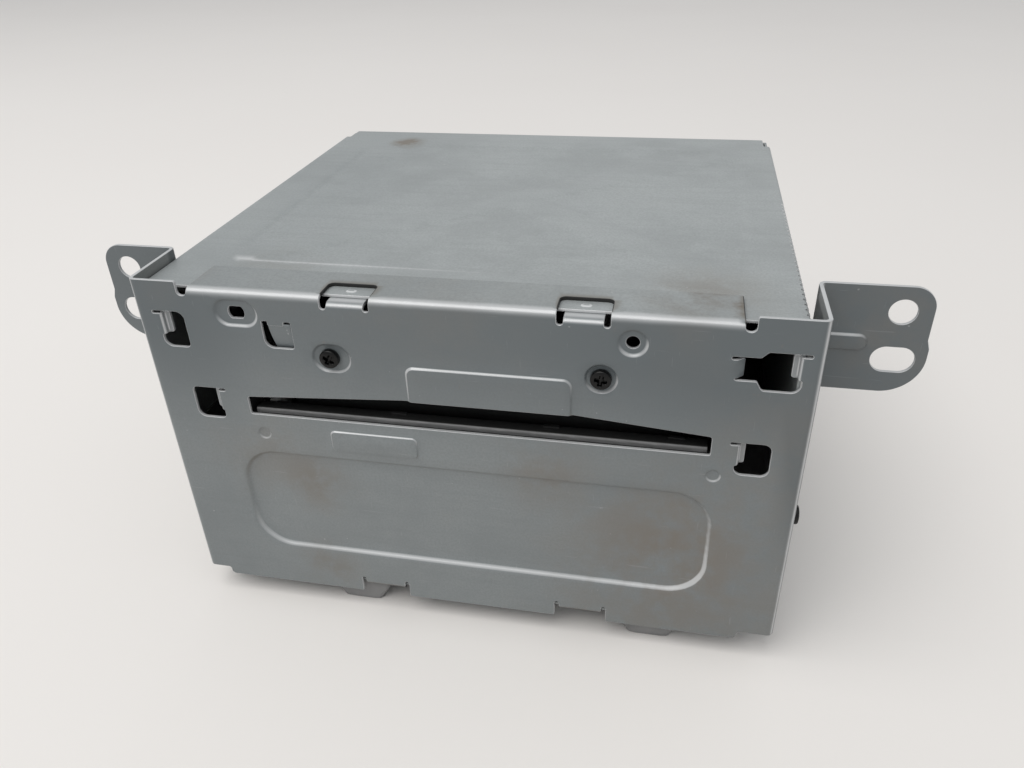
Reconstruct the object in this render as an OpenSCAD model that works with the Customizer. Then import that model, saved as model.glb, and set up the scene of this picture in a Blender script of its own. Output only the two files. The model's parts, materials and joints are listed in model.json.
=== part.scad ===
// Car head unit without its fascia: a sheet steel case with a slot loading disc deck inside.
// Modules are drawn in a bench frame: x = 0 at the middle of the mounting ears, y = 0 at the
// face of the front plate with +y towards the rear, z = 0 at the underside of the case.

/* [Case] */
// Width of the sheet steel case
case_w = 178; // [174:0.5:182]
// Depth of the case behind the face of the front plate
case_d = 169.2; // [168:0.2:190]
// Height of the case from the tub floor to the top of the cover
case_h = 100.8; // [98:0.2:110]
// Thickness of the case sheet
sheet_t = 0.8; // [0.6:0.05:1]
// Height of the feet under the case
foot_h = 10.5; // [8:0.5:14]
// Sideways offset of the case from the middle of the ears
case_shift = -3.75; // [-4.5:0.05:-3]
// Depth of the side lips of the top cover
lip_h = 12; // [8:0.5:20]
// Pitch of the vents along the right hand lip
vent_pitch = 3; // [2.4:0.1:4]
// Depth of the four pressed triangles in the top cover
cover_press = 0.45; // [0.2:0.05:0.6]

/* [Front plate] */
// Thickness of the front plate
plate_t = 1; // [0.8:0.05:1.2]
// Rise of the plate's top corners over the cover
corner_rise = 2.8; // [2.2:0.1:4]
// Drop of the plate's bottom edge below the case floor
plate_drop = 3.6; // [2:0.1:5]
// Inner radius of the plate's bends
bend_r = 1; // [0.6:0.1:1.4]
// Gap between the left flange of the plate and the case
left_gap = 0.15; // [0.1:0.05:0.6]
// Gap between the right flange of the plate and the case
right_gap = 2.85; // [0.5:0.05:3.5]
// Depth of the flange that lies on the top cover
top_flange_d = 16; // [12:0.5:20]
// Depth of the lower part of the side flanges
side_flange_d = 14; // [12:0.5:20]

/* [Ears] */
// Half of the span over the two mounting ears
ear_reach = 118; // [115:0.5:124]
// Distance of the ear faces behind the plate's face
ear_y = 22.5; // [20:0.5:28]
// Height of the ears
ear_h = 30.7; // [29:0.1:34]
// Distance from an ear's outer edge to the middle of its holes
ear_hole_inset = 8.3; // [8:0.1:9]
// Diameter of the round ear holes
ear_hole_d = 7; // [5:0.1:8]
// Length of the ear slots
ear_slot_l = 11; // [9:0.1:12]
// Width of the ear slots
ear_slot_w = 7.4; // [5:0.1:8]

/* [Disc slot] */
// Width of the disc slot
slot_w = 130.4; // [124:0.2:132]
// Height of the slot's lower edge above the case floor
slot_low = 62.65; // [61.5:0.05:63.5]
// Height of the slot at its two ends
slot_end_h = 5.85; // [5:0.05:7]
// Height of the slot in its middle
slot_mid_h = 9.05; // [8:0.05:9.6]

/* [Plate pressings] */
// Width of the large sunk panel
panel_w = 140.5; // [120:0.5:150]
// Height of the large sunk panel
panel_h = 37.8; // [30:0.2:39]
// Corner radius of the large sunk panel
panel_r = 12; // [6:0.5:14]
// Depth of the large sunk panel
panel_press = 1.2; // [0.8:0.05:1.4]
// Depth of the recesses around the holes and screws
recess_press = 0.8; // [0.5:0.05:1]
// Rise of the brow over the slot
brow_press = 0.7; // [0.4:0.05:0.8]
// Width of the brow over the slot
brow_w = 45.5; // [38:0.5:48]
// Height of the brow over the slot
brow_h = 11.1; // [8:0.1:12]

/* [Disc deck] */
// Diameter of the disc that the deck takes
disc_d = 120; // [118:0.5:122]
// Thickness of the disc
disc_t = 1.2; // [1:0.1:1.4]
// Distance from the plate's face to the middle of a loaded disc
disc_y = 78; // [77:0.5:79]
// Sheet thickness of the deck frame
deck_t = 1; // [0.8:0.1:1.2]
// Height of the rubber dampers under the deck
damper_h = 8; // [6:0.5:9]
// Radius of the rubber dampers
damper_r = 4.2; // [3:0.2:5]
// Radius of the spring wire round the dampers
spring_wire_r = 0.4; // [0.3:0.05:0.5]
// Turns of each damper spring
spring_turns = 4; // [3:1:5]

/* [Loading drive] */
// Largest radius of the feed roller
roller_r = 4.2; // [3.6:0.1:4.4]
// Length of the feed roller
roller_l = 114; // [100:1:118]
// Gear module of the loading gears
gear_module = 0.8; // [0.76:0.01:0.82]
// Width of the loading gears
gear_w = 3; // [2.4:0.1:3.2]
// Radius of the belt pulley on the drive gear
drive_pulley_r = 8; // [6:0.2:8.4]
// Radius of the belt pulley on the loading motor
motor_pulley_r = 2.6; // [2:0.1:3]
// Radius of the loading motor
motor_r = 6; // [5:0.1:6.2]

/* [Pickup] */
// Travel of the pickup sled
sled_travel = 34; // [28:0.5:34.5]
// Radius of the turntable
turntable_r = 15; // [12:0.5:16]
// Radius of the hub that centres the disc
hub_r = 7.4; // [7.2:0.05:7.45]
// Radius of the guide rods
rod_r = 1.5; // [1.2:0.1:1.6]
// Pitch of the lead screw
screw_pitch = 3; // [2.6:0.2:4]
// Angle that the clamp arm is raised with no disc in
clamp_lift = 3.2; // [2.5:0.1:3.6]

/* [Electronics and rear] */
// Thickness of the circuit boards
board_t = 1.6; // [1.2:0.1:2]
// Height of the posts under the main board
post_h = 6.2; // [5:0.2:8]
// Length of the heat sink fins behind the rear panel
fin_l = 12; // [8:0.5:16]
// Number of heat sink fins
fin_count = 11; // [8:1:13]
// Pins along each of the two rows of the power socket
pins_per_row = 8; // [6:1:9]

/* [Fasteners] */
// Radius of the screw heads
head_r = 2.75; // [2.4:0.05:3]
// Height of the screw heads
head_h = 1.9; // [1.6:0.05:2.2]
// Radius of the screw shanks
shank_r = 1.4; // [1.2:0.05:1.5]

/* [Hidden] */
$fn = 48;
// Small overshoot of a cutting tool
cut = 1;
// Radial play of a shaft in its bearing
run_fit = 0.05;
// Radial play of a pin, rod or screw fixed in its seat
seat_fit = 0.03;
// Gap between sheets that slide together
sheet_gap = 0.1;
// Radius of a hole that a screw is driven into, and of one that it passes freely
screw_bite = shank_r + run_fit;
screw_pass = shank_r + 0.2;

// Disc height, and depth of the deck behind the disc
slot_end_top = slot_low + slot_end_h;
slot_mid_top = slot_low + slot_mid_h;
disc_z = slot_low + slot_end_h / 2 - disc_t / 2;
sled_y = disc_y + 19;
sled_l = 18;
rod_back = sled_y + sled_l + sled_travel + 5.5;
deck_front = 10;
deck_back = rod_back + 2.5;

// Case outline
case_x0 = case_shift - case_w / 2;
case_x1 = case_shift + case_w / 2;
tub_x0 = case_x0 + sheet_t + sheet_gap;
tub_x1 = case_x1 - sheet_t - sheet_gap;
tub_in_x0 = tub_x0 + sheet_t;
tub_in_x1 = tub_x1 - sheet_t;
cover_under = case_h - sheet_t;
panel_back = case_d - sheet_t - sheet_gap;
tub_back = panel_back - sheet_t;
tub_front = plate_t + 0.2;
cover_front = 4;
corner_notch_w = 2.5;
corner_notch_d = 10;
rear_lip_h = 10;
vent_front = 8;
vent_run = 84;
vent_rise = 3;

// Front plate outline
bend_out = bend_r + plate_t;
plate_x0 = case_x0 - left_gap - plate_t;
plate_x1 = case_x1 + right_gap + plate_t;
plate_cx = (plate_x0 + plate_x1) / 2;
plate_top = case_h + corner_rise;
corner_drop = 0.8;
low_edge_x0 = plate_x0 + 7.8;
low_edge_x1 = plate_x1 - 10.5;
flange_x0 = plate_x0 + 16.9;
flange_x1 = plate_x1 - 19.5;
flange_top = case_h + plate_t;
relief_w = 2.7;
relief_z = flange_top - bend_out - 2;
lock_tab_x = 31.4;
top_tab_shift = -0.5;
top_window_w = 13.6;
top_window_d = 9;
top_tab_w = 10.2;
top_tab_z = cover_under - 0.05;
top_slot_z = top_tab_z - 1.9;
low_notch_w = 15.8;
low_tab_w = 13.6;
low_tab_d = 10;

// Ear outline
ear_top = plate_top;
ear_low = ear_top - ear_h;
ear_edge = ear_reach - 0.8;
ear_hole_x = ear_reach - ear_hole_inset;
ear_top_r = 6;
ear_low_r = 10.7;
ear_hole_z = ear_top - 7.1;
ear_slot_z = ear_top - 20.9;
rib_w = 5.3;
rib_z = ear_top - 16.3;
rib_short = 0.65;
rib_rise = 0.9;

// Disc slot and what lies round it
slot_x = -0.3;
slot_mid_x0 = -18.3;
slot_mid_x1 = 28.7;
slot_x0 = slot_x - slot_w / 2;
slot_x1 = slot_x + slot_w / 2;
brow_x = 5.75;
brow_under = 2;
screw_x = [-38.1, 35.7];
screw_z = case_h - 17.5;
peg_x = 43.3;
peg_z = case_h - 6.55;
peg_d = 3.5;
key_x = plate_x0 + 30.35;
key_z = case_h - 5.6;
key_d = 4.8;
key_flat = 3.6;
panel_top = slot_low - 12.85;
strip_x = -28.6;
strip_z = slot_low - 6.9;
dimple_x = [-62.6, 66.2];
dimple_z = slot_low - 6.55;
dimple_r = 2.2;
small_press = 0.5;

// Each pressing: x, z, width, height, corner radius, depth to the rear
pressings = [
    [plate_cx, panel_top - panel_h / 2, panel_w, panel_h, panel_r, panel_press],
    [screw_x[0] + 0.5, screw_z, 11.5, 9.2, 4.6, recess_press],
    [screw_x[1], screw_z, 9, 9, 4.5, recess_press],
    [peg_x, peg_z, 8.2, 8.2, 4.1, recess_press],
    [key_x, key_z, 13.3, 8.8, 4.4, recess_press],
    [dimple_x[0], dimple_z, 2 * dimple_r, 2 * dimple_r, dimple_r, small_press],
    [dimple_x[1], dimple_z, 2 * dimple_r, 2 * dimple_r, dimple_r, small_press],
    [strip_x, strip_z, 26.2, 7.3, 1.6, -small_press],
    [brow_x, slot_mid_top + (brow_h - brow_under) / 2, brow_w, brow_h + brow_under, 2.6, -brow_press],
];

// Each clip window: left, right, bottom, top, side that its hook tab is on
clip_low = case_h - 17.3;
clip_windows = [
    [plate_x0 + 6.7, plate_x0 + 15.5, clip_low, clip_low + 11, -1],
    [slot_x0 - 16.1, slot_x0 - 8.3, slot_low - 2.05, slot_low + 7.85, 1],
    [plate_x1 - 14.2, plate_x1 - 4.7, clip_low, clip_low + 10.9, 1],
    [slot_x1 + 6.3, slot_x1 + 15.2, slot_low - 5.35, slot_low + 4.85, -1],
];
clip_r = 2.4;
hook_relief_h = 0.95;
hook_relief_l = 1.6;
hook_h = 3.7;
hook_bend_r = 0.4;
hook_d = 5;
keyhole = [plate_x1 - 20.7, plate_x1 - 13.7, clip_low + 2.5, clip_low + 9.2];
keyhole_tab_l = 3;
keyhole_tip = 0.4;
lance = [key_x + 7.15, key_x + 15.65, clip_low + 1.8, clip_low + 8.7];
lance_gap = 0.5;
lance_tab_w = 6.3;
lance_relief = 1.3;
lance_lean = 2.4;

// Feet
foot_x = [-41.3, 52.8];
foot_w = 19.5;
foot_flat = 13;
foot_l = 16;
foot_front = 3;
foot_y = [foot_front + foot_l / 2, tub_back - foot_front - foot_l / 2];
rivet_r = 1.5;

// Heights in the disc deck
deck_top = disc_z - 13.5;
deck_low = deck_top - deck_t;
shelf_top = deck_low - damper_h;
drive_room = 13;
disc_room = 10;
deck_x0 = -roller_l / 2 - drive_room;
deck_x1 = disc_d / 2 + disc_room;
deck_back_top = disc_z + 3;
deck_wall_top = disc_z + 16;
deck_lip = 8;
bridge_front = disc_y - 18;
damper_inset = 12;
damper_x = [deck_x0 + damper_inset, deck_x1 - damper_inset];
damper_y = [deck_front + 24, deck_back - 25];
spring_r = damper_r + 1.7;
spring_end = 0.1;

// Slot guide behind the plate
guide_y0 = plate_t + recess_press;
guide_y1 = 8.5;
guide_x0 = slot_x0 - 2;
guide_x1 = slot_x1 + 2;
rail_y0 = guide_y0 + 0.4;
rail_d = 3.6;
rail_low = slot_low - 0.6;
rail_top = slot_low + 1.05;
rail_inset = 0.8;
stop_x = [-22, 22, 56];
stop_w = 4.4;
stop_d = 1;
stop_h = 0.4;

// Loading drive
feed_y = 16;
feed_z = disc_z - 0.2 - roller_r;
feed_shaft_r = 1.5;
shaft_end = 1.5;
roller_teeth = 14;
drive_teeth = 22;
tooth_play = 0.12;
gear_tip = 0.95;
gear_reach = gear_module * (roller_teeth + drive_teeth) / 2;
drive_low_gap = 0.94;
drive_z = deck_top + gear_module * (drive_teeth / 2 + gear_tip) + drive_low_gap;
drive_rise = drive_z - feed_z;
drive_y = feed_y + sqrt(gear_reach * gear_reach - drive_rise * drive_rise);
mesh_angle = atan2(drive_rise, drive_y - feed_y);
gear_x = deck_x0 + 4.8;
pulley_x = deck_x0 + 1.5;
pulley_rim = 0.4;
pulley_rim_h = 1.2;
pulley_core_w = gear_x - pulley_x - 2 * pulley_rim;
axle_r = 1.5;
motor_y = 53;
motor_z = deck_top + motor_r + 0.2;
motor_x0 = deck_x0 + 6;
motor_l = 22;
motor_shaft_r = 1;
motor_bore = 6;
belt_t = 1.1;
belt_w = 1.2;

// Turntable and pickup
spindle_r = 1;
spindle_motor_r = 12;
spindle_motor_h = 9;
spindle_foot = 1;
pad_t = 0.5;
pad_edge = 0.5;
sled_half = 21;
sled_low = deck_top + 1.5;
sled_h = 7.5;
sled_top = sled_low + sled_h;
rod_x = 17;
rod_z = sled_low + 3.5;
rod_front = disc_y + 14;
sink_in = 0.2;
post_t = 2.5;
lens_y = sled_y + 6;
lens_r = 2.5;
lens_h = 2.2;
lens_seat = 1;
lead_x = 28;
lead_r = 1.6;
lead_swing = 0.35;
lead_journal = 6;
lead_z = rod_z + 0.5;
sled_motor_r = 5;
sled_motor_l = 14;
lead_front = rod_front + 5;
lead_back = rod_back - post_t - 1;

// Clamp over the turntable
arm_z = disc_z + 6;
arm_t = 1;
arm_half = 17;
pivot_y = disc_y + 68;
pivot_z = arm_z + 2;
pivot_r = 1.5;
puck_z = disc_z + disc_t;
puck_r = 13;
puck_neck_r = 4;
puck_play = 0.6;
lug_x = 20;
lug_half = 3.5;

// Main board, socket and heat sink
board_z = sheet_t + post_h;
board_top = board_z + board_t;
board_x0 = tub_in_x0 + 3;
board_x1 = tub_in_x1 - 3;
board_y0 = 6;
board_y1 = tub_back - 5;
post_r = 3;
post_x = [board_x0 + 8, -2, board_x1 - 8];
post_y = [board_y0 + 22, board_y1 - 60];
sink_t = 3;
sink_y = tub_back - sink_t;
aerial_x = tub_in_x0 + 23.05;
socket_x0 = aerial_x + 24;
socket_w = 42;
sink_x0 = socket_x0 + socket_w + 16;
sink_x1 = tub_in_x1 - 5.55;
sink_z0 = board_top + 3.4;
sink_z1 = sink_z0 + 48;
sink_rim = 3.5;
sink_base = 2;
sink_back = panel_back + sink_base + fin_l;
fin_t = 1.6;
chip_t = 4.8;
chip_w = 34;
chip_x0 = (sink_x0 + sink_x1 - chip_w) / 2 + 1;
chip_z = sink_z0;
chip_h = 18;
clamp_bar_t = 1;
clamp_bar_h = 6;
clamp_end = 6;
socket_z = board_top + 1.4;
socket_h = 24;
socket_front = tub_back - 18;
socket_back = panel_back + 4;
socket_wall = 2;
pin_r = 0.6;
pin_run = 36;
pin_row_gap = 8.6;
pin_short = 5;
aerial_z = board_top + 12.4;
aerial_r = 6.5;
aerial_stub = 2.5;
aerial_back = panel_back + 9;
tuner_w = 36;
tuner_d = 42;
tuner_h = 15;
deck_board_z = deck_low - 3.5;
deck_board_t = 1.2;
deck_board_gap = spring_r + 4.1;
deck_board_x = [damper_x[0] + deck_board_gap, damper_x[1] - deck_board_gap];
deck_board_y = [deck_back - 59, deck_back - 7];
deck_board_inset = 7;
ribbon_x = socket_x0 + socket_w + 5;
ribbon_w = 16;
ribbon_t = 0.3;
ribbon_y = deck_back;
ribbon_bend = 2;
ribbon_front = deck_board_y[1] - 2;
ribbon_low = board_top + 1.7;

// Screws that hold the shelf, the case and the rear panel
side_screw_y = 7;
side_screw_z = 40.5;
side_boss_r = 5;
shelf_screw_y = [deck_front + 30, deck_back - 27];
shelf_flange_h = 9;
shelf_screw_z = shelf_top + 5;
rear_flange_w = 8;
rear_flange_z0 = 66;
rear_screw_z = 78;
shank_l = 5;
tip_gap = 0.5;

// Whole part: nothing stands further forward than the screw heads or further back than the fins
front_proud = max(head_h - recess_press, brow_press, small_press);
front_y = -(sink_back - front_proud) / 2;

// Flat shapes

// Rectangle with round corners about its middle, down to a slot or a circle
module round_rect(w, h, r) {
    across = w / 2 - r;
    up = h / 2 - r;
    if (up > 0.01)
        square([w, 2 * up], center = true);
    if (across > 0.01)
        square([2 * across, h], center = true);
    for (x = across > 0.01 ? [-across, across] : [0], z = up > 0.01 ? [-up, up] : [0])
        translate([x, z])
            circle(r);
}

// Quarter of a ring in the first quadrant, the section of a bend
module quarter_ring(r_in, r_out) {
    intersection() {
        difference() {
            circle(r_out);
            circle(r_in);
        }
        square(r_out);
    }
}

// Rectangle from one corner to the other
module span(x0, y0, x1, y1) {
    translate([x0, y0])
        square([x1 - x0, y1 - y0]);
}

// Involute gear with its first tooth on the first axis
module gear_shape(teeth) {
    pitch_r = gear_module * teeth / 2;
    base_r = pitch_r * cos(20);
    root_r = pitch_r - 1.25 * gear_module;
    tip_r = pitch_r + gear_tip * gear_module;
    steps = 5;
    radii = [for (i = [0 : steps]) max(base_r, root_r) + (tip_r - max(base_r, root_r)) * i / steps];
    half = 90 / teeth - tooth_play / (2 * pitch_r) * 180 / PI;
    flank = [for (r = radii) [r, half + involute(20) - involute(acos(min(1, base_r / r)))]];
    foot = [root_r, flank[0][1]];
    side = concat([foot], flank);
    points = [
        for (i = [0 : teeth - 1], s = [-1, 1], k = [0 : steps + 1])
            let (p = s < 0 ? side[k] : side[steps + 1 - k], a = 360 * i / teeth + s * p[1])
                [p[0] * cos(a), p[0] * sin(a)]
    ];
    polygon(points);
}

// Involute function of an angle, in degrees
function involute(a) = tan(a) * 180 / PI - a;

// Ways to give a flat shape its thickness

// Shape in x and z, from y0 to y1
module slab(y0, y1) {
    translate([0, y1, 0])
        rotate([90, 0, 0])
            linear_extrude(y1 - y0)
                children();
}

// Shape in y and z, from x0 to x1
module bar(x0, x1) {
    translate([x0, 0, 0])
        rotate([90, 0, 90])
            linear_extrude(x1 - x0)
                children();
}

// Shape in x and y, from z0 to z1
module layer(z0, z1) {
    translate([0, 0, z0])
        linear_extrude(z1 - z0)
            children();
}

// Box from one corner to the other
module block(a, b) {
    translate(a)
        cube(b - a);
}

// Round bar along x, y or z
module rod_along_x(x0, x1, y, z, r) {
    translate([x0, y, z])
        rotate([0, 90, 0])
            cylinder(h = x1 - x0, r = r);
}

module rod_along_y(x, y0, y1, z, r) {
    translate([x, y1, z])
        rotate([90, 0, 0])
            cylinder(h = y1 - y0, r = r);
}

module rod_along_z(x, y, z0, z1, r) {
    translate([x, y, z0])
        cylinder(h = z1 - z0, r = r);
}

// Pan head screw along +z with a cross recess, its head under z = 0
module pan_screw(length) {
    cross_w = 0.9;
    cross_l = 3.2;
    cross_depth = head_h * 0.6;
    taper = 0.7;
    difference() {
        union() {
            translate([0, 0, -head_h])
                cylinder(h = head_h, r1 = head_r - taper, r2 = head_r);
            cylinder(h = length, r = shank_r);
        }
        for (a = [0, 90])
            rotate(a)
                translate([-cross_l / 2, -cross_w / 2, -head_h - cut])
                    cube([cross_l, cross_w, cut + cross_depth]);
    }
}

// Screw that points to the rear, to the front, to the left, to the right or down
module screw_to_rear(x, y, z, length) {
    translate([x, y, z])
        rotate([-90, 0, 0])
            pan_screw(length);
}

module screw_to_front(x, y, z, length) {
    translate([x, y, z])
        rotate([90, 0, 0])
            pan_screw(length);
}

module screw_sideways(x, y, z, length, side) {
    translate([x, y, z])
        rotate([0, -90 * side, 0])
            pan_screw(length);
}

module screw_down(x, y, z, length) {
    translate([x, y, z])
        rotate([180, 0, 0])
            pan_screw(length);
}

// Case

// Face of the plate with its two side bends and the lower part of its side flanges, from above
module plate_plan() {
    span(plate_x0 + bend_out, 0, plate_x1 - bend_out, plate_t);
    translate([plate_x0 + bend_out, bend_out])
        rotate(180)
            quarter_ring(bend_r, bend_out);
    translate([plate_x1 - bend_out, bend_out])
        rotate(270)
            quarter_ring(bend_r, bend_out);
    span(plate_x0, bend_out, plate_x0 + plate_t, side_flange_d);
    span(plate_x1 - plate_t, bend_out, plate_x1, side_flange_d);
}

// Flange and ear of one side seen from above, edge is the distance of the flange's outer face
module ear_plan(edge) {
    span(edge - plate_t, bend_out, edge, ear_y - bend_r);
    translate([edge + bend_r, ear_y - bend_r])
        rotate(90)
            quarter_ring(bend_r, bend_out);
    span(edge + bend_r, ear_y, ear_reach, ear_y + plate_t);
}

// Outline of an ear from the front
module ear_outline(edge) {
    inner = edge - bend_out;
    low_x = ear_reach - ear_low_r;
    span(inner, ear_low, low_x, ear_top);
    span(inner, ear_low + ear_low_r, ear_edge, ear_top - ear_top_r);
    span(inner, ear_low + ear_low_r, ear_edge - ear_top_r, ear_top);
    translate([low_x, ear_low + ear_low_r])
        circle(ear_low_r);
    translate([ear_edge - ear_top_r, ear_top - ear_top_r])
        circle(ear_top_r);
}

// One ear on the right hand side, with its hole, its slot and the rib that stiffens its bend
module ear(edge) {
    rib_end = (edge + ear_reach) / 2 - rib_short;
    difference() {
        union() {
            intersection() {
                layer(ear_low, ear_top)
                    ear_plan(edge);
                slab(0, ear_y + plate_t)
                    ear_outline(edge);
            }
            slab(ear_y - rib_rise, ear_y) {
                span(edge - plate_t / 2, rib_z - rib_w / 2, rib_end - rib_w / 2, rib_z + rib_w / 2);
                translate([rib_end - rib_w / 2, rib_z])
                    circle(rib_w / 2);
            }
        }
        rod_along_y(ear_hole_x, ear_y - cut, ear_y + plate_t + cut, ear_hole_z, ear_hole_d / 2);
        slab(ear_y - cut, ear_y + plate_t + cut)
            translate([ear_hole_x, ear_slot_z])
                round_rect(ear_slot_l, ear_slot_w, ear_slot_w / 2);
    }
}

// Face of the plate between its relief notches, with the flange that bends back over the cover
module plate_face() {
    slab(0, plate_t)
        span(low_edge_x0, -plate_drop, low_edge_x1, 0);
    difference() {
        layer(-corner_drop, plate_top)
            plate_plan();
        block([flange_x0 - relief_w, -cut, relief_z], [flange_x1 + relief_w, bend_out, plate_top + cut]);
    }
    bar(flange_x0, flange_x1) {
        span(0, relief_z, plate_t, flange_top - bend_out);
        translate([bend_out, flange_top - bend_out])
            rotate(90)
                quarter_ring(bend_r, bend_out);
        span(bend_out, case_h, top_flange_d, flange_top);
    }
}

// One pressing of the face: its side wall and its sunk or raised floor
module pressing(p) {
    y0 = min(0, p[5]);
    y1 = plate_t + max(0, p[5]);
    translate([p[0], 0, p[1]]) {
        slab(y0, y1)
            difference() {
                round_rect(p[2], p[3], p[4]);
                round_rect(p[2] - 2 * plate_t, p[3] - 2 * plate_t, max(p[4] - plate_t, 0.4));
            }
        slab(p[5], p[5] + plate_t)
            round_rect(p[2], p[3], p[4]);
    }
}

// Space that a pressing leaves in the flat face
module pressing_cut(p) {
    translate([p[0], 0, p[1]])
        slab(-cut, plate_t + cut)
            round_rect(p[2] - 2 * plate_t, p[3] - 2 * plate_t, max(p[4] - plate_t, 0.4));
}

// Outline of the disc slot
module slot_shape() {
    polygon([
        [slot_x0, slot_low],
        [slot_x1, slot_low],
        [slot_x1, slot_end_top],
        [slot_mid_x1, slot_mid_top],
        [slot_mid_x0, slot_mid_top],
        [slot_x0, slot_end_top],
    ]);
}

// Opening of one clip window with the relief slot over its hook tab
module clip_shape(w) {
    edge = w[4] < 0 ? w[0] : w[1];
    translate([(w[0] + w[1]) / 2, (w[2] + w[3]) / 2])
        round_rect(w[1] - w[0], w[3] - w[2], clip_r);
    span(min(edge, edge + w[4] * hook_relief_l), w[3] - hook_relief_h,
         max(edge, edge + w[4] * hook_relief_l), w[3]);
    span(min(edge, edge - w[4] * clip_r), w[3] - clip_r, max(edge, edge - w[4] * clip_r), w[3]);
}

// Hook tab that is bent back out of a clip window
module clip_hook(w) {
    edge = w[4] < 0 ? w[0] : w[1];
    hook_out = hook_bend_r + plate_t;
    top = w[3] - hook_relief_h;
    translate([edge, 0, 0])
        mirror([w[4] > 0 ? 1 : 0, 0, 0])
            layer(top - hook_h, top) {
                span(-plate_t, 0, 0, plate_t);
                translate([0, hook_out])
                    rotate(270)
                        quarter_ring(hook_bend_r, hook_out);
                span(hook_bend_r, hook_out, hook_out, hook_d);
            }
}

// Openings of the lanced tab: its window and the two relief slots over its fold
module lance_shape() {
    span(lance[0], lance[2], lance[1], lance[3]);
    for (x = [lance[0], lance[1] - lance_relief])
        span(x, lance[3] - cut, x + lance_relief, lance[3] + lance_relief);
}

// Lanced tab, hung from its fold and leaning to the rear
module lance_tab() {
    bar(lance[1] - lance_tab_w, lance[1] - lance_relief)
        polygon([
            [0, lance[3] + lance_relief],
            [plate_t, lance[3] + lance_relief],
            [plate_t + lance_lean, lance[2] + lance_gap],
            [lance_lean, lance[2] + lance_gap],
        ]);
}

// Tab at the narrow end of the keyhole window, leaning to the rear
module keyhole_tab() {
    layer(keyhole[2], keyhole[3] - hook_relief_h)
        polygon([
            [keyhole[0] - plate_t, 0],
            [keyhole[0], 0],
            [keyhole[0] + keyhole_tab_l, keyhole_tab_l],
            [keyhole[0] + keyhole_tab_l - plate_t, keyhole_tab_l + keyhole_tip],
            [keyhole[0] - plate_t, plate_t],
        ]);
}

// Tab of the plate that is bent back under the front edge of the cover
module cover_tab(x) {
    bar(x - top_tab_w / 2, x + top_tab_w / 2) {
        span(0, relief_z, plate_t, top_tab_z - bend_out);
        translate([bend_out, top_tab_z - bend_out])
            rotate(90)
                quarter_ring(bend_r, bend_out);
        span(bend_out, top_tab_z - plate_t, top_window_d, top_tab_z);
    }
}

// Tab of the plate that is bent back under the tub floor
module floor_tab(x) {
    bar(x - low_tab_w / 2, x + low_tab_w / 2) {
        translate([bend_out, bend_out - plate_t])
            rotate(180)
                quarter_ring(bend_r, bend_out);
        span(bend_out, -plate_t, low_tab_d, 0);
    }
}

module front_plate() {
    color([0.55, 0.57, 0.58]) {
        difference() {
            union() {
                difference() {
                    plate_face();
                    for (p = pressings)
                        pressing_cut(p);
                }
                for (p = pressings)
                    pressing(p);
                ear(plate_x1);
                mirror([1, 0, 0])
                    ear(-plate_x0);
            }
            slab(-front_proud - cut, plate_t + cut)
                slot_shape();
            for (w = clip_windows)
                slab(-cut, plate_t + cut)
                    clip_shape(w);
            slab(-cut, plate_t + cut)
                span(keyhole[0], keyhole[2], keyhole[1], keyhole[3]);
            slab(-cut, plate_t + cut)
                lance_shape();
            for (s = [-1, 1]) {
                x = s * lock_tab_x;
                block([x + top_tab_shift - top_window_w / 2, -cut, top_slot_z],
                      [x + top_tab_shift + top_window_w / 2, top_window_d, flange_top + cut]);
                block([x - low_notch_w / 2, -cut, -plate_drop - cut],
                      [x + low_notch_w / 2, plate_t + cut, bend_r]);
            }
            for (x = screw_x)
                rod_along_y(x, -cut, guide_y0 + cut, screw_z, screw_pass);
            rod_along_y(peg_x, -cut, guide_y0 + cut, peg_z, peg_d / 2);
            slab(-cut, guide_y0 + cut)
                translate([key_x, key_z])
                    intersection() {
                        circle(key_d / 2);
                        square([key_d, key_flat], center = true);
                    }
            rod_along_x(plate_x0 - cut, plate_x1 + cut, side_screw_y, side_screw_z, screw_pass);
        }
        for (w = clip_windows)
            clip_hook(w);
        keyhole_tab();
        lance_tab();
        for (s = [-1, 1]) {
            cover_tab(s * lock_tab_x + top_tab_shift);
            floor_tab(s * lock_tab_x);
        }
    }
}

// Triangle of the cover's pressed cross, grown by a margin
module cover_triangle(angle, margin) {
    cx = plate_cx;
    cy = (cover_front + case_d) / 2;
    half_w = case_w / 2 - 13;
    half_d = (case_d - cover_front) / 2 - 18.6;
    rib = 7 - 1.4 * margin;
    across = angle == 0 || angle == 180 ? half_w : half_d;
    along = angle == 0 || angle == 180 ? half_d : half_w;
    translate([cx, cy])
        rotate(angle)
            polygon([
                [0, -rib],
                [across - rib, -along - margin],
                [-across + rib, -along - margin],
            ]);
}

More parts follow.
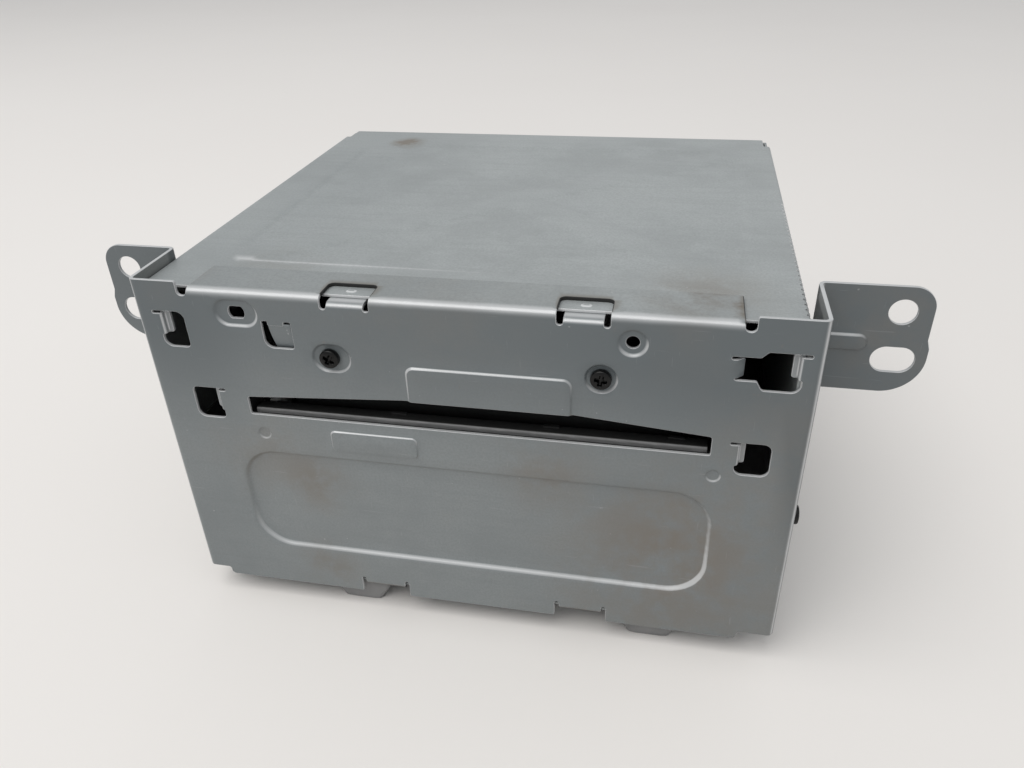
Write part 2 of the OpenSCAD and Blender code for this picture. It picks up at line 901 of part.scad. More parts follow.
module top_cover() {
    vent_count = floor(vent_run / vent_pitch);
    color([0.62, 0.64, 0.65])
        difference() {
            union() {
                block([case_x0, cover_front, cover_under], [case_x1, case_d - corner_notch_d, case_h]);
                block([case_x0 + corner_notch_w, cover_front, cover_under],
                      [case_x1 - corner_notch_w, case_d, case_h]);
                block([case_x0, cover_front, case_h - lip_h],
                      [case_x0 + sheet_t, case_d - corner_notch_d, case_h]);
                block([case_x1 - sheet_t, cover_front, case_h - lip_h],
                      [case_x1, case_d - corner_notch_d, case_h]);
                block([case_x0 + corner_notch_w, case_d - sheet_t, case_h - rear_lip_h],
                      [case_x1 - corner_notch_w, case_d, case_h]);
                for (a = [0, 90, 180, 270])
                    layer(cover_under - cover_press, cover_under)
                        cover_triangle(a, sheet_t);
            }
            for (a = [0, 90, 180, 270])
                layer(case_h - cover_press, case_h + cut)
                    cover_triangle(a, 0);
            for (i = [0 : vent_count - 1])
                block([case_x1 - sheet_t - cut, vent_front + i * vent_pitch, case_h - lip_h + vent_rise],
                      [case_x1 + cut, vent_front + (i + 0.5) * vent_pitch, case_h - sheet_t / 2]);
        }
}

module chassis_tub() {
    wall_top = cover_under - sheet_gap;
    color([0.58, 0.6, 0.61])
        difference() {
            union() {
                block([tub_x0, tub_front, 0], [tub_x1, tub_back, sheet_t]);
                for (x = [tub_x0, tub_in_x1])
                    block([x, tub_front, 0], [x + sheet_t, tub_back, wall_top]);
                for (x = [tub_in_x0, tub_in_x1 - rear_flange_w])
                    block([x, tub_back - sheet_t, rear_flange_z0], [x + rear_flange_w, tub_back, wall_top]);
                rod_along_x(plate_x0 + plate_t, tub_x0, side_screw_y, side_screw_z, side_boss_r);
                rod_along_x(tub_x1, plate_x1 - plate_t, side_screw_y, side_screw_z, side_boss_r);
            }
            rod_along_x(plate_x0, plate_x1, side_screw_y, side_screw_z, screw_bite);
            for (y = shelf_screw_y)
                rod_along_x(plate_x0, plate_x1, y, shelf_screw_z, screw_pass);
            for (x = foot_x, y = foot_y)
                rod_along_z(x, y, -cut, sheet_t + cut, rivet_r + seat_fit);
            for (x = rear_screw_x())
                rod_along_y(x, tub_back - sheet_t - cut, tub_back + cut, rear_screw_z, screw_bite);
        }
}

// Places of the two screws that hold the rear panel
function rear_screw_x() = [tub_in_x0 + rear_flange_w / 2, tub_in_x1 - rear_flange_w / 2];

module rear_panel() {
    gap = 0.3;
    color([0.6, 0.62, 0.63])
        difference() {
            block([tub_x0, tub_back, 0], [tub_x1, panel_back, cover_under - sheet_gap]);
            block([sink_x0 - gap, tub_back - cut, sink_z0 - gap],
                  [sink_x1 + gap, panel_back + cut, sink_z1 + gap]);
            block([socket_x0 - gap, tub_back - cut, socket_z - gap],
                  [socket_x0 + socket_w + gap, panel_back + cut, socket_z + socket_h + gap]);
            rod_along_y(aerial_x, tub_back - cut, panel_back + cut, aerial_z, aerial_r + gap);
            for (x = rear_screw_x())
                rod_along_y(x, tub_back - cut, panel_back + cut, rear_screw_z, screw_pass);
            for (x = sink_screw_x())
                rod_along_y(x, tub_back - cut, panel_back + cut, (sink_z0 + sink_z1) / 2, screw_pass);
        }
}

// Places of the two screws that hold the heat sink
function sink_screw_x() = [sink_x0 - sink_rim, sink_x1 + sink_rim];

// Feet, cut away where the plate's floor tabs lie on the tub
module feet() {
    gap = 0.3;
    color([0.36, 0.37, 0.38])
        difference() {
            for (x = foot_x, y = foot_y)
                translate([x, y, 0])
                    difference() {
                        slab(-foot_l / 2, foot_l / 2)
                            polygon([
                                [-foot_w / 2, 0],
                                [foot_w / 2, 0],
                                [foot_flat / 2, -foot_h],
                                [-foot_flat / 2, -foot_h],
                            ]);
                        rod_along_z(0, 0, -foot_h / 2, cut, rivet_r + seat_fit);
                    }
            for (s = [-1, 1])
                block([s * lock_tab_x - low_tab_w / 2 - gap, 0, -plate_t - gap],
                      [s * lock_tab_x + low_tab_w / 2 + gap, low_tab_d + gap, cut]);
        }
}

module foot_rivets() {
    color([0.6, 0.6, 0.6])
        for (x = foot_x, y = foot_y) {
            rod_along_z(x, y, -foot_h / 2 + 0.5, sheet_t, rivet_r);
            rod_along_z(x, y, sheet_t, sheet_t + 1, 2 * rivet_r);
        }
}

// Black moulding behind the plate that the disc passes through
module slot_guide() {
    bar_low = slot_low - 5.5;
    bar_top = slot_mid_top + 8;
    end_t = 1.8;
    boss_r = 4;
    color([0.08, 0.08, 0.09])
        difference() {
            union() {
                slab(guide_y0, guide_y1) {
                    span(guide_x0, bar_low, guide_x1, rail_low);
                    span(guide_x0, slot_mid_top + 0.8, guide_x1, bar_top);
                    span(guide_x0, bar_low, guide_x0 + end_t, bar_top);
                    span(guide_x1 - end_t, bar_low, guide_x1, bar_top);
                }
                slab(guide_y0, guide_y1)
                    for (x = screw_x) {
                        span(x - boss_r, bar_top - cut, x + boss_r, screw_z);
                        translate([x, screw_z])
                            circle(boss_r);
                    }
            }
            for (x = screw_x)
                rod_along_y(x, guide_y0 - cut, guide_y0 + shank_l, screw_z, screw_bite);
        }
}

// Steel rail along the lower edge of the slot, with three small stops
module slot_rail() {
    nose_r = 0.7;
    color([0.6, 0.6, 0.58]) {
        bar(slot_x0 + rail_inset, slot_x1 - rail_inset) {
            span(rail_y0, rail_low, rail_y0 + rail_d, rail_top - nose_r);
            span(rail_y0 + nose_r, rail_low, rail_y0 + rail_d, rail_top);
            translate([rail_y0 + nose_r, rail_top - nose_r])
                circle(nose_r);
        }
        for (x = stop_x)
            block([x - stop_w / 2, rail_y0 + rail_d - stop_d, rail_top - stop_h],
                  [x + stop_w / 2, rail_y0 + rail_d, rail_top + stop_h]);
    }
}

module front_screws() {
    color([0.05, 0.05, 0.05])
        for (x = screw_x)
            screw_to_rear(x, recess_press, screw_z, plate_t + shank_l - tip_gap);
}

module side_screws() {
    color([0.06, 0.06, 0.06]) {
        screw_sideways(plate_x0, side_screw_y, side_screw_z, shank_l, -1);
        screw_sideways(plate_x1, side_screw_y, side_screw_z, plate_t + right_gap + shank_l, 1);
    }
}

module shelf_screws() {
    color([0.06, 0.06, 0.06])
        for (y = shelf_screw_y) {
            screw_sideways(tub_x0, y, shelf_screw_z, shank_l, -1);
            screw_sideways(tub_x1, y, shelf_screw_z, shank_l, 1);
        }
}

module rear_screws() {
    color([0.06, 0.06, 0.06])
        for (x = rear_screw_x())
            screw_to_front(x, panel_back, rear_screw_z, shank_l);
}

// Shelf across the case that carries the deck on its dampers
module deck_shelf() {
    shelf_y0 = deck_front + 4;
    shelf_y1 = deck_back - 5;
    shelf_low = shelf_top - sheet_t;
    window_half = 30;
    window_y = [disc_y - 18, disc_y + 42];
    color([0.57, 0.59, 0.6])
        difference() {
            union() {
                block([tub_in_x0, shelf_y0, shelf_low], [tub_in_x1, shelf_y1, shelf_top]);
                for (x = [tub_in_x0, tub_in_x1 - sheet_t])
                    block([x, shelf_y0, shelf_low], [x + sheet_t, shelf_y1, shelf_top + shelf_flange_h]);
            }
            block([-window_half, window_y[0], shelf_low - cut],
                  [window_half, window_y[1], shelf_top + cut]);
            for (y = shelf_screw_y)
                rod_along_x(plate_x0, plate_x1, y, shelf_screw_z, screw_bite);
        }
}

// Main board and what stands on it

module main_board() {
    color([0.1, 0.32, 0.2])
        difference() {
            block([board_x0, board_y0, board_z], [board_x1, board_y1, board_top]);
            for (x = post_x, y = post_y)
                rod_along_z(x, y, board_z - cut, board_top + cut, screw_pass);
        }
}

module board_posts() {
    color([0.72, 0.6, 0.32])
        for (x = post_x, y = post_y)
            difference() {
                rod_along_z(x, y, sheet_t, board_z, post_r);
                rod_along_z(x, y, board_z - shank_l, board_z + cut, screw_bite);
            }
}

module board_screws() {
    color([0.65, 0.65, 0.66])
        for (x = post_x, y = post_y)
            screw_down(x, y, board_top, board_t + shank_l - tip_gap);
}

// Screened box of the radio tuner, with a lid that overlaps its walls
module tuner_can() {
    x0 = aerial_x - tuner_w / 2;
    y1 = board_y1 - 2;
    top = board_top + tuner_h;
    lid_t = 0.3;
    lid_h = 3;
    color([0.72, 0.73, 0.74]) {
        block([x0, y1 - tuner_d, board_top], [x0 + tuner_w, y1, top]);
        block([x0 - lid_t, y1 - tuner_d - lid_t, top - lid_h],
              [x0 + tuner_w + lid_t, y1 + lid_t, top + lid_t]);
    }
}

// Round aerial socket through the rear panel
module aerial_socket() {
    wall = 1.8;
    collar = 2;
    collar_t = 1.5;
    color([0.75, 0.75, 0.76])
        difference() {
            union() {
                rod_along_y(aerial_x, tub_back - aerial_stub, aerial_back, aerial_z, aerial_r);
                rod_along_y(aerial_x, panel_back, panel_back + collar_t, aerial_z, aerial_r + collar);
            }
            rod_along_y(aerial_x, panel_back - 1, aerial_back + cut, aerial_z, aerial_r - wall);
        }
}

// Housing of the power and loudspeaker socket, open to the rear
module power_socket() {
    base = 4;
    color([0.12, 0.12, 0.13])
        difference() {
            block([socket_x0, socket_front, socket_z],
                  [socket_x0 + socket_w, socket_back, socket_z + socket_h]);
            block([socket_x0 + socket_wall, socket_front + base, socket_z + socket_wall],
                  [socket_x0 + socket_w - socket_wall, socket_back + cut, socket_z + socket_h - socket_wall]);
            for (i = [0 : pins_per_row - 1], row = [0, 1])
                rod_along_y(pin_x(i), socket_front - cut, socket_back, pin_z(row), pin_r + seat_fit);
        }
}

// Place of a pin along its row, and height of a row
function pin_x(i) = socket_x0 + socket_w / 2 + (i - (pins_per_row - 1) / 2) * pin_run / pins_per_row;
function pin_z(row) = socket_z + socket_h / 2 + (row - 0.5) * pin_row_gap;

module socket_pins() {
    color([0.78, 0.66, 0.35])
        for (i = [0 : pins_per_row - 1], row = [0, 1])
            rod_along_y(pin_x(i), socket_front, socket_back - pin_short, pin_z(row), pin_r);
}

// Extruded heat sink: a base inside the rear panel, a block through it and fins behind it
module heat_sink() {
    mid_z = (sink_z0 + sink_z1) / 2;
    fin_step = (sink_x1 - sink_x0 - fin_t) / (fin_count - 1);
    color([0.66, 0.67, 0.68])
        difference() {
            union() {
                block([sink_x0 - 2 * sink_rim, sink_y, sink_z0],
                      [sink_x1 + 1.5 * sink_rim, tub_back, sink_z1]);
                block([sink_x0, tub_back - cut, sink_z0], [sink_x1, panel_back + sink_base, sink_z1]);
                for (i = [0 : fin_count - 1])
                    block([sink_x0 + i * fin_step, panel_back, sink_z0],
                          [sink_x0 + i * fin_step + fin_t, sink_back, sink_z1]);
            }
            for (x = sink_screw_x())
                rod_along_y(x, sink_y - cut, tub_back + cut, mid_z, screw_bite);
            for (x = clamp_screw_x())
                rod_along_y(x, sink_y - cut, sink_y + shank_l, chip_z + chip_h / 2, screw_bite);
        }
}

// Places of the two screws that hold the chip's clamp
function clamp_screw_x() = [chip_x0 - clamp_end / 2, chip_x0 + chip_w + clamp_end / 2];

module sink_screws() {
    color([0.62, 0.62, 0.63])
        for (x = sink_screw_x())
            screw_to_front(x, panel_back, (sink_z0 + sink_z1) / 2, sheet_t + sink_t - tip_gap);
}

// Amplifier chip against the heat sink, with its row of legs in the board
module amplifier_chip() {
    leg_w = 0.7;
    legs = 15;
    color([0.09, 0.09, 0.1]) {
        block([chip_x0, sink_y - chip_t, chip_z], [chip_x0 + chip_w, sink_y, chip_z + chip_h]);
        for (i = [0 : legs - 1])
            translate([chip_x0 + chip_w * (i + 0.5) / legs, sink_y - chip_t / 2, board_top])
                translate([-leg_w / 2, -leg_w / 2, 0])
                    cube([leg_w, leg_w, chip_z - board_top + leg_w]);
    }
}

// Spring bar that presses the chip on the heat sink
module chip_clamp() {
    y1 = sink_y - chip_t;
    mid = chip_z + chip_h / 2;
    color([0.7, 0.7, 0.71])
        difference() {
            block([chip_x0 - clamp_end, y1 - clamp_bar_t, mid - clamp_bar_h / 2],
                  [chip_x0 + chip_w + clamp_end, y1, mid + clamp_bar_h / 2]);
            for (x = clamp_screw_x())
                rod_along_y(x, y1 - clamp_bar_t - cut, y1 + cut, mid, screw_pass);
        }
}

module clamp_screws() {
    color([0.62, 0.62, 0.63])
        for (x = clamp_screw_x())
            screw_to_rear(x, sink_y - chip_t - clamp_bar_t, chip_z + chip_h / 2,
                          chip_t + clamp_bar_t + sink_t - tip_gap);
}

// Can capacitors: three tall ones for the supply and a row of small ones
module capacitors() {
    large_x = [22, 39, 56];
    large_y = 132;
    large_r = 6.5;
    large_h = 22;
    small_x = [-40, -28, -16, -4, 8];
    small_y = 56;
    small_r = 4;
    small_h = 11;
    color([0.12, 0.14, 0.22]) {
        for (x = large_x)
            rod_along_z(x, large_y, board_top, board_top + large_h, large_r);
        for (x = small_x)
            rod_along_z(x, small_y, board_top, board_top + small_h, small_r);
    }
}

module power_choke() {
    side = 15;
    height = 11;
    color([0.2, 0.2, 0.21])
        translate([45, 98, board_top])
            cube([side, side, height]);
}

// Flat control chips on the main board: x, y and side of each
module control_chips() {
    chip_rise = 1.7;
    chips = [[-36, 70, 24], [20, 70, 16], [-62, 84, 14]];
    color([0.08, 0.08, 0.09])
        for (c = chips)
            translate([c[0], c[1], board_top])
                cube([c[2], c[2], chip_rise]);
}

// Socket on the main board that the deck's ribbon is pushed into
module ribbon_socket() {
    wall = 2;
    play = 0.2;
    height = 5;
    color([0.85, 0.84, 0.78])
        difference() {
            block([ribbon_x - wall, ribbon_y - ribbon_t - wall, board_top],
                  [ribbon_x + ribbon_w + wall, ribbon_y + wall, board_top + height]);
            block([ribbon_x - play, ribbon_y - ribbon_t - play, ribbon_low - play],
                  [ribbon_x + ribbon_w + play, ribbon_y + play, board_top + height + cut]);
        }
}

// Flat ribbon from the deck's board down to the main board
module deck_ribbon() {
    top = deck_board_z;
    color([0.8, 0.78, 0.7])
        bar(ribbon_x, ribbon_x + ribbon_w) {
            span(ribbon_front, top - ribbon_t, ribbon_y - ribbon_bend, top);
            translate([ribbon_y - ribbon_bend, top - ribbon_bend])
                quarter_ring(ribbon_bend - ribbon_t, ribbon_bend);
            span(ribbon_y - ribbon_t, ribbon_low, ribbon_y, top - ribbon_bend);
        }
}

// Disc deck

module dampers() {
    color([0.1, 0.1, 0.1])
        for (x = damper_x, y = damper_y)
            rod_along_z(x, y, shelf_top, deck_low, damper_r);
}

// Point on a spring's middle line after a number of turns
function coil_point(t) = [
    spring_r * cos(360 * t),
    spring_r * sin(360 * t),
    spring_wire_r + spring_end + t / spring_turns * (damper_h - 2 * (spring_wire_r + spring_end)),
];

// Coil spring as one unbroken tube, with rings of points round the wire
module coil_spring() {
    rings_per_turn = 12;
    sides = 6;
    count = spring_turns * rings_per_turn;
    points = [
        for (i = [0 : count], k = [0 : sides - 1])
            let (t = i / rings_per_turn, p = coil_point(t), a = 360 * k / sides)
                p + spring_wire_r * [cos(a) * cos(360 * t), cos(a) * sin(360 * t), sin(a)]
    ];
    walls = [
        for (i = [0 : count - 1], k = [0 : sides - 1])
            let (n = (k + 1) % sides)
                [i * sides + k, i * sides + n, (i + 1) * sides + n, (i + 1) * sides + k]
    ];
    first = [for (k = [0 : sides - 1]) sides - 1 - k];
    last = [for (k = [0 : sides - 1]) count * sides + k];
    polyhedron(points, concat([first, last], walls), convexity = 8);
}

module damper_springs() {
    echo(spring_gap = (damper_h - 2 * (spring_wire_r + spring_end)) / spring_turns - 2 * spring_wire_r);
    color([0.7, 0.7, 0.7])
        for (x = damper_x, y = damper_y)
            translate([x, y, shelf_top])
                coil_spring();
}

// Posts at the ends of the guide rods, and the rear bearing of the lead screw
module rod_posts() {
    half = 3;
    for (s = [-1, 1], y = [rod_front, rod_back - post_t])
        difference() {
            block([s * rod_x - half, y, deck_top - sink_in], [s * rod_x + half, y + post_t, rod_z + half]);
            rod_along_y(s * rod_x, y - cut, y + post_t + cut, rod_z, rod_r + seat_fit);
        }
    difference() {
        block([lead_x - half, rod_back - post_t, deck_top - sink_in],
              [lead_x + half, rod_back, lead_z + half]);
        rod_along_y(lead_x, rod_back - post_t - cut, rod_back + cut, lead_z, motor_shaft_r + run_fit);
    }
}

// Steel tray of the deck with its bearings, motor saddles and top lips
module deck_frame() {
    saddle = 1;
    saddle_drop = 2;
    pillar_r = 2.5;
    color([0.6, 0.61, 0.62]) {
        difference() {
            union() {
                block([deck_x0, deck_front, deck_low], [deck_x1, deck_back, deck_top]);
                for (x = [deck_x0, deck_x1 - deck_t])
                    block([x, deck_front, deck_low], [x + deck_t, deck_back, deck_wall_top]);
                for (x = [deck_x0, deck_x1 - deck_lip])
                    block([x, bridge_front, deck_wall_top - deck_t],
                          [x + deck_lip, deck_back, deck_wall_top]);
                block([deck_x0, deck_back - deck_t, deck_low], [deck_x1, deck_back, deck_back_top]);
                block([motor_x0 + saddle_drop, motor_y - motor_r - saddle, deck_top - sink_in],
                      [motor_x0 + motor_l - saddle_drop, motor_y + motor_r + saddle, motor_z - saddle_drop]);
                block([lead_x - sled_motor_r - saddle, lead_front - sled_motor_l + saddle_drop,
                       deck_top - sink_in],
                      [lead_x + sled_motor_r + saddle, lead_front - saddle_drop, lead_z - saddle_drop]);
                for (i = [0, 1], j = [0, 1])
                    rod_along_z(deck_board_x[i] + (1 - 2 * i) * deck_board_inset,
                                deck_board_y[j] + (1 - 2 * j) * deck_board_inset,
                                deck_board_z + deck_board_t, deck_low + sink_in, pillar_r);
            }
            rod_along_x(deck_x0 - cut, deck_x1 + cut, feed_y, feed_z, feed_shaft_r + run_fit);
            rod_along_x(deck_x0 - cut, deck_x0 + deck_t + cut, drive_y, drive_z, axle_r + seat_fit);
            rod_along_x(motor_x0, motor_x0 + motor_l, motor_y, motor_z, motor_r + seat_fit);
            rod_along_y(lead_x, lead_front - sled_motor_l, lead_front, lead_z, sled_motor_r + seat_fit);
            for (x = bridge_screw_x(), y = bridge_screw_y())
                rod_along_z(x, y, deck_wall_top - deck_t - cut, deck_wall_top + cut, screw_bite);
        }
        rod_posts();
    }
}

// Places of the four screws that hold the bridge
function bridge_screw_x() = [deck_x0 + deck_lip / 2, deck_x1 - deck_lip / 2];
function bridge_screw_y() = [bridge_front + deck_lip, deck_back - deck_lip];

// Plate across the top of the deck that carries the clamp arm's pin
module deck_bridge() {
    color([0.62, 0.63, 0.64])
        difference() {
            union() {
                block([deck_x0, bridge_front, deck_wall_top],
                      [deck_x1, deck_back, deck_wall_top + deck_t]);
                for (s = [-1, 1])
                    block([s * lug_x - deck_t / 2, pivot_y - lug_half, pivot_z - lug_half],
                          [s * lug_x + deck_t / 2, pivot_y + lug_half, deck_wall_top + deck_t]);
            }
            rod_along_z(0, disc_y, deck_wall_top - cut, deck_wall_top + deck_t + cut, puck_r);
            rod_along_x(-lug_x - deck_t, lug_x + deck_t, pivot_y, pivot_z, pivot_r + seat_fit);
            for (x = bridge_screw_x(), y = bridge_screw_y())
                rod_along_z(x, y, deck_wall_top - cut, deck_wall_top + deck_t + cut, screw_pass);
        }
}

module bridge_screws() {
    color([0.65, 0.65, 0.66])
        for (x = bridge_screw_x(), y = bridge_screw_y())
            screw_down(x, y, deck_wall_top + deck_t, 2 * deck_t + 1.5 * shank_r);
}

module deck_board() {
    color([0.12, 0.3, 0.2])
        block([deck_board_x[0], deck_board_y[0], deck_board_z],
              [deck_board_x[1], deck_board_y[1], deck_board_z + deck_board_t]);
}

// Black plastic guide over the feed roller, with a ramp at its front
module disc_guide() {
    half = roller_l / 2 + 2;
    low = disc_z + disc_t + 2.8;
    thick = 1.6;
    ramp = 3;
    ramp_end = feed_y + 2;
    back = 45;
    bar_d = 3.5;
    color([0.07, 0.07, 0.08]) {
        bar(-half, half)
            polygon([
                [deck_front + 1, low + ramp],
                [deck_front + 1, low + ramp + thick],
                [ramp_end, low + thick],
                [back, low + thick],
                [back, low],
                [ramp_end, low],
            ]);
        block([deck_x0 + deck_t, back - bar_d, low], [deck_x1 - deck_t, back, low + thick]);
    }
}

module feed_shaft() {
    color([0.75, 0.75, 0.76])
        rod_along_x(deck_x0 - shaft_end, deck_x1 + shaft_end, feed_y, feed_z, feed_shaft_r);
}

// Rubber feed roller, thinner in the middle so that only the disc's rim is gripped
module feed_roller() {
    bore_r = feed_shaft_r + seat_fit;
    waist = 0.8;
    color([0.1, 0.1, 0.1])
        translate([0, feed_y, feed_z])
            rotate([0, 90, 0])
                rotate_extrude()
                    polygon([
                        [bore_r, -roller_l / 2],
                        [roller_r, -roller_l / 2],
                        [roller_r - waist, 0],
                        [roller_r, roller_l / 2],
                        [bore_r, roller_l / 2],
                    ]);
}

module roller_gear() {
    color([0.9, 0.9, 0.86])
        difference() {
            bar(gear_x, gear_x + gear_w)
                translate([feed_y, feed_z])
                    rotate(mesh_angle)
                        gear_shape(roller_teeth);
            rod_along_x(gear_x - cut, gear_x + gear_w + cut, feed_y, feed_z, feed_shaft_r + seat_fit);
        }
}

// Drive gear with the belt pulley on its hub
module drive_gear() {
    core_x = pulley_x + pulley_rim;
    rim_r = drive_pulley_r + pulley_rim_h;
    color([0.9, 0.9, 0.86])
        difference() {
            union() {
                bar(gear_x, gear_x + gear_w)
                    translate([drive_y, drive_z])
                        rotate(mesh_angle + 180 + 180 / drive_teeth)
                            gear_shape(drive_teeth);
                rod_along_x(pulley_x, core_x, drive_y, drive_z, rim_r);
                rod_along_x(core_x, core_x + pulley_core_w, drive_y, drive_z, drive_pulley_r);
                rod_along_x(core_x + pulley_core_w, gear_x, drive_y, drive_z, rim_r);
            }
            rod_along_x(pulley_x - cut, gear_x + gear_w + cut, drive_y, drive_z, axle_r + run_fit);
        }
}

module drive_axle() {
    collar = 0.3;
    end = gear_x + gear_w + 1;
    color([0.75, 0.75, 0.76]) {
        rod_along_x(deck_x0, end, drive_y, drive_z, axle_r);
        rod_along_x(gear_x + gear_w + collar, end, drive_y, drive_z, axle_r + 1);
    }
}

// Belt round both pulleys, grown outwards from them by a margin
module belt_outline(margin) {
    hull() {
        translate([drive_y, drive_z])
            circle(drive_pulley_r + margin);
        translate([motor_y, motor_z])
            circle(motor_pulley_r + margin);
    }
}

module drive_belt() {
    belt_x = (pulley_x + gear_x - belt_w) / 2;
    lift = 0.1;
    color([0.08, 0.08, 0.08])
        bar(belt_x, belt_x + belt_w)
            difference() {
                belt_outline(belt_t + lift);
                belt_outline(lift);
            }
}

module loading_motor() {
    color([0.7, 0.71, 0.72])
        difference() {
            rod_along_x(motor_x0, motor_x0 + motor_l, motor_y, motor_z, motor_r);
            rod_along_x(motor_x0 - cut, motor_x0 + motor_bore, motor_y, motor_z, motor_shaft_r + run_fit);
        }
}

// Motor shaft with its belt pulley
module motor_pulley() {
    core_x = pulley_x + pulley_rim;
    rim_r = motor_pulley_r + pulley_rim_h;
    color([0.85, 0.85, 0.8]) {
        rod_along_x(pulley_x, motor_x0 + motor_bore - tip_gap, motor_y, motor_z, motor_shaft_r);
        rod_along_x(pulley_x, core_x, motor_y, motor_z, rim_r);
        rod_along_x(core_x, core_x + pulley_core_w, motor_y, motor_z, motor_pulley_r);
        rod_along_x(core_x + pulley_core_w, gear_x, motor_y, motor_z, rim_r);
    }
}

module spindle_motor() {
    color([0.66, 0.67, 0.68])
        difference() {
            rod_along_z(0, disc_y, deck_top, deck_top + spindle_motor_h, spindle_motor_r);
            rod_along_z(0, disc_y, deck_top + spindle_foot,
                        deck_top + spindle_motor_h + cut, spindle_r + run_fit);
        }
}

module spindle_shaft() {
    color([0.78, 0.78, 0.78])
        rod_along_z(0, disc_y, deck_top + spindle_foot + run_fit, disc_z + disc_t, spindle_r);
}

// Turntable with the coned hub that centres the disc
module turntable() {
    seat = disc_z - pad_t;
    flange_t = 2;
    cone_h = 1;
    cone_taper = 1.4;
    top = disc_z + disc_t;
    color([0.16, 0.16, 0.17])
        difference() {
            union() {
                rod_along_z(0, disc_y, seat - flange_t, seat, turntable_r);
                rod_along_z(0, disc_y, seat - flange_t / 2, top, hub_r);
                translate([0, disc_y, top])
                    cylinder(h = cone_h, r1 = hub_r, r2 = hub_r - cone_taper);
            }
            rod_along_z(0, disc_y, seat - flange_t - cut, top + cone_h + cut, spindle_r + seat_fit);
        }
}

module turntable_pad() {
    color([0.05, 0.05, 0.05])
        difference() {
            rod_along_z(0, disc_y, disc_z - pad_t, disc_z, turntable_r - pad_edge);
            rod_along_z(0, disc_y, disc_z - pad_t - cut, disc_z + cut, hub_r + 3 * pad_edge);
        }
}

module guide_rods() {
    color([0.8, 0.8, 0.8])
        for (s = [-1, 1])
            rod_along_y(s * rod_x, rod_front, rod_back, rod_z, rod_r);
}

// Pickup sled, bored for both rods, with the half nut that the lead screw drives
module pickup_sled() {
    nut_y = sled_y + 7;
    nut_l = 6;
    nut_half = 3;
    nut_play = 0.35;
    ring_w = 2;
    ring_h = 1;
    color([0.24, 0.25, 0.26])
        difference() {
            union() {
                block([-sled_half, sled_y, sled_low], [sled_half, sled_y + sled_l, sled_top]);
                block([sled_half - cut, nut_y, lead_z - nut_half],
                      [lead_x + nut_half, nut_y + nut_l, lead_z + nut_half]);
                rod_along_z(0, lens_y, sled_top - cut, sled_top + ring_h, lens_r + ring_w);
            }
            for (s = [-1, 1])
                rod_along_y(s * rod_x, sled_y - cut, sled_y + sled_l + cut, rod_z, rod_r + run_fit);
            rod_along_y(lead_x, nut_y - cut, nut_y + nut_l + cut, lead_z, lead_r + nut_play);
            rod_along_z(0, lens_y, sled_top - lens_seat, sled_top + ring_h + cut, lens_r + seat_fit);
        }
}

module pickup_lens() {
    base = sled_top - lens_seat;
    color([0.6, 0.75, 0.85])
        rod_along_z(0, lens_y, base, base + lens_h, lens_r);
}

// Lead screw: a round bar swung round its axis along its length, with plain journals at both ends
module lead_screw() {
    turns = (lead_back - lead_front) / screw_pitch;
    color([0.75, 0.75, 0.76]) {
        translate([lead_x, lead_back, lead_z])
            rotate([90, 0, 0])
                linear_extrude(lead_back - lead_front, twist = 360 * turns, slices = ceil(turns * 8), $fn = 8)
                    translate([lead_swing, 0])
                        circle(lead_r - lead_swing, $fn = 8);
        rod_along_y(lead_x, lead_front - lead_journal, lead_front + tip_gap, lead_z, motor_shaft_r);
        rod_along_y(lead_x, lead_back - tip_gap, rod_back - tip_gap, lead_z, motor_shaft_r);
    }
}

module sled_motor() {
    color([0.68, 0.69, 0.7])
        difference() {
            rod_along_y(lead_x, lead_front - sled_motor_l, lead_front - tip_gap, lead_z, sled_motor_r);
            rod_along_y(lead_x, lead_front - lead_journal - tip_gap, lead_front,
                        lead_z, motor_shaft_r + run_fit);
        }
}

// Turns the clamp parts about the pivot to their raised rest position
module raised() {
    translate([0, pivot_y, pivot_z])
        rotate([-clamp_lift, 0, 0])
            translate([0, -pivot_y, -pivot_z])
                children();
}

// Arm that carries the clamp puck over the turntable
module clamp_arm() {
    head_half = 12;
    ear_front = pivot_y - 8;
    ear_back = pivot_y + 3.5;
    ear_rise = 5;
    color([0.64, 0.65, 0.66])
        raised()
            difference() {
                union() {
                    layer(arm_z, arm_z + arm_t) {
                        translate([0, disc_y])
                            circle(head_half);
                        polygon([
                            [-head_half, disc_y],
                            [head_half, disc_y],
                            [arm_half, ear_front],
                            [-arm_half, ear_front],
                        ]);
                        span(-arm_half, ear_front, arm_half, pivot_y - 2 * pivot_r);
                    }
                    for (x = [-arm_half, arm_half - arm_t])
                        block([x, ear_front, arm_z], [x + arm_t, ear_back, arm_z + ear_rise]);
                }
                rod_along_z(0, disc_y, arm_z - cut, arm_z + arm_t + cut, puck_neck_r + puck_play);
                rod_along_x(-arm_half - cut, arm_half + cut, pivot_y, pivot_z, pivot_r + run_fit);
            }
}

module clamp_pin() {
    color([0.78, 0.78, 0.78])
        rod_along_x(-lug_x - 2 * deck_t, lug_x + 2 * deck_t, pivot_y, pivot_z, pivot_r);
}

// Puck that presses the disc on the turntable, hollow underneath to clear the hub
module clamp_puck() {
    flange_t = 2.8;
    hollow = 2;
    cap_low = arm_z + arm_t + 0.8;
    cap_t = 1.2;
    cap_w = 2.5;
    color([0.85, 0.85, 0.82])
        raised()
            difference() {
                union() {
                    rod_along_z(0, disc_y, puck_z, puck_z + flange_t, puck_r);
                    rod_along_z(0, disc_y, puck_z + hollow, cap_low + cap_t, puck_neck_r);
                    rod_along_z(0, disc_y, cap_low, cap_low + cap_t, puck_neck_r + cap_w);
                }
                rod_along_z(0, disc_y, puck_z - cut, puck_z + hollow, hub_r + 1);
            }
}

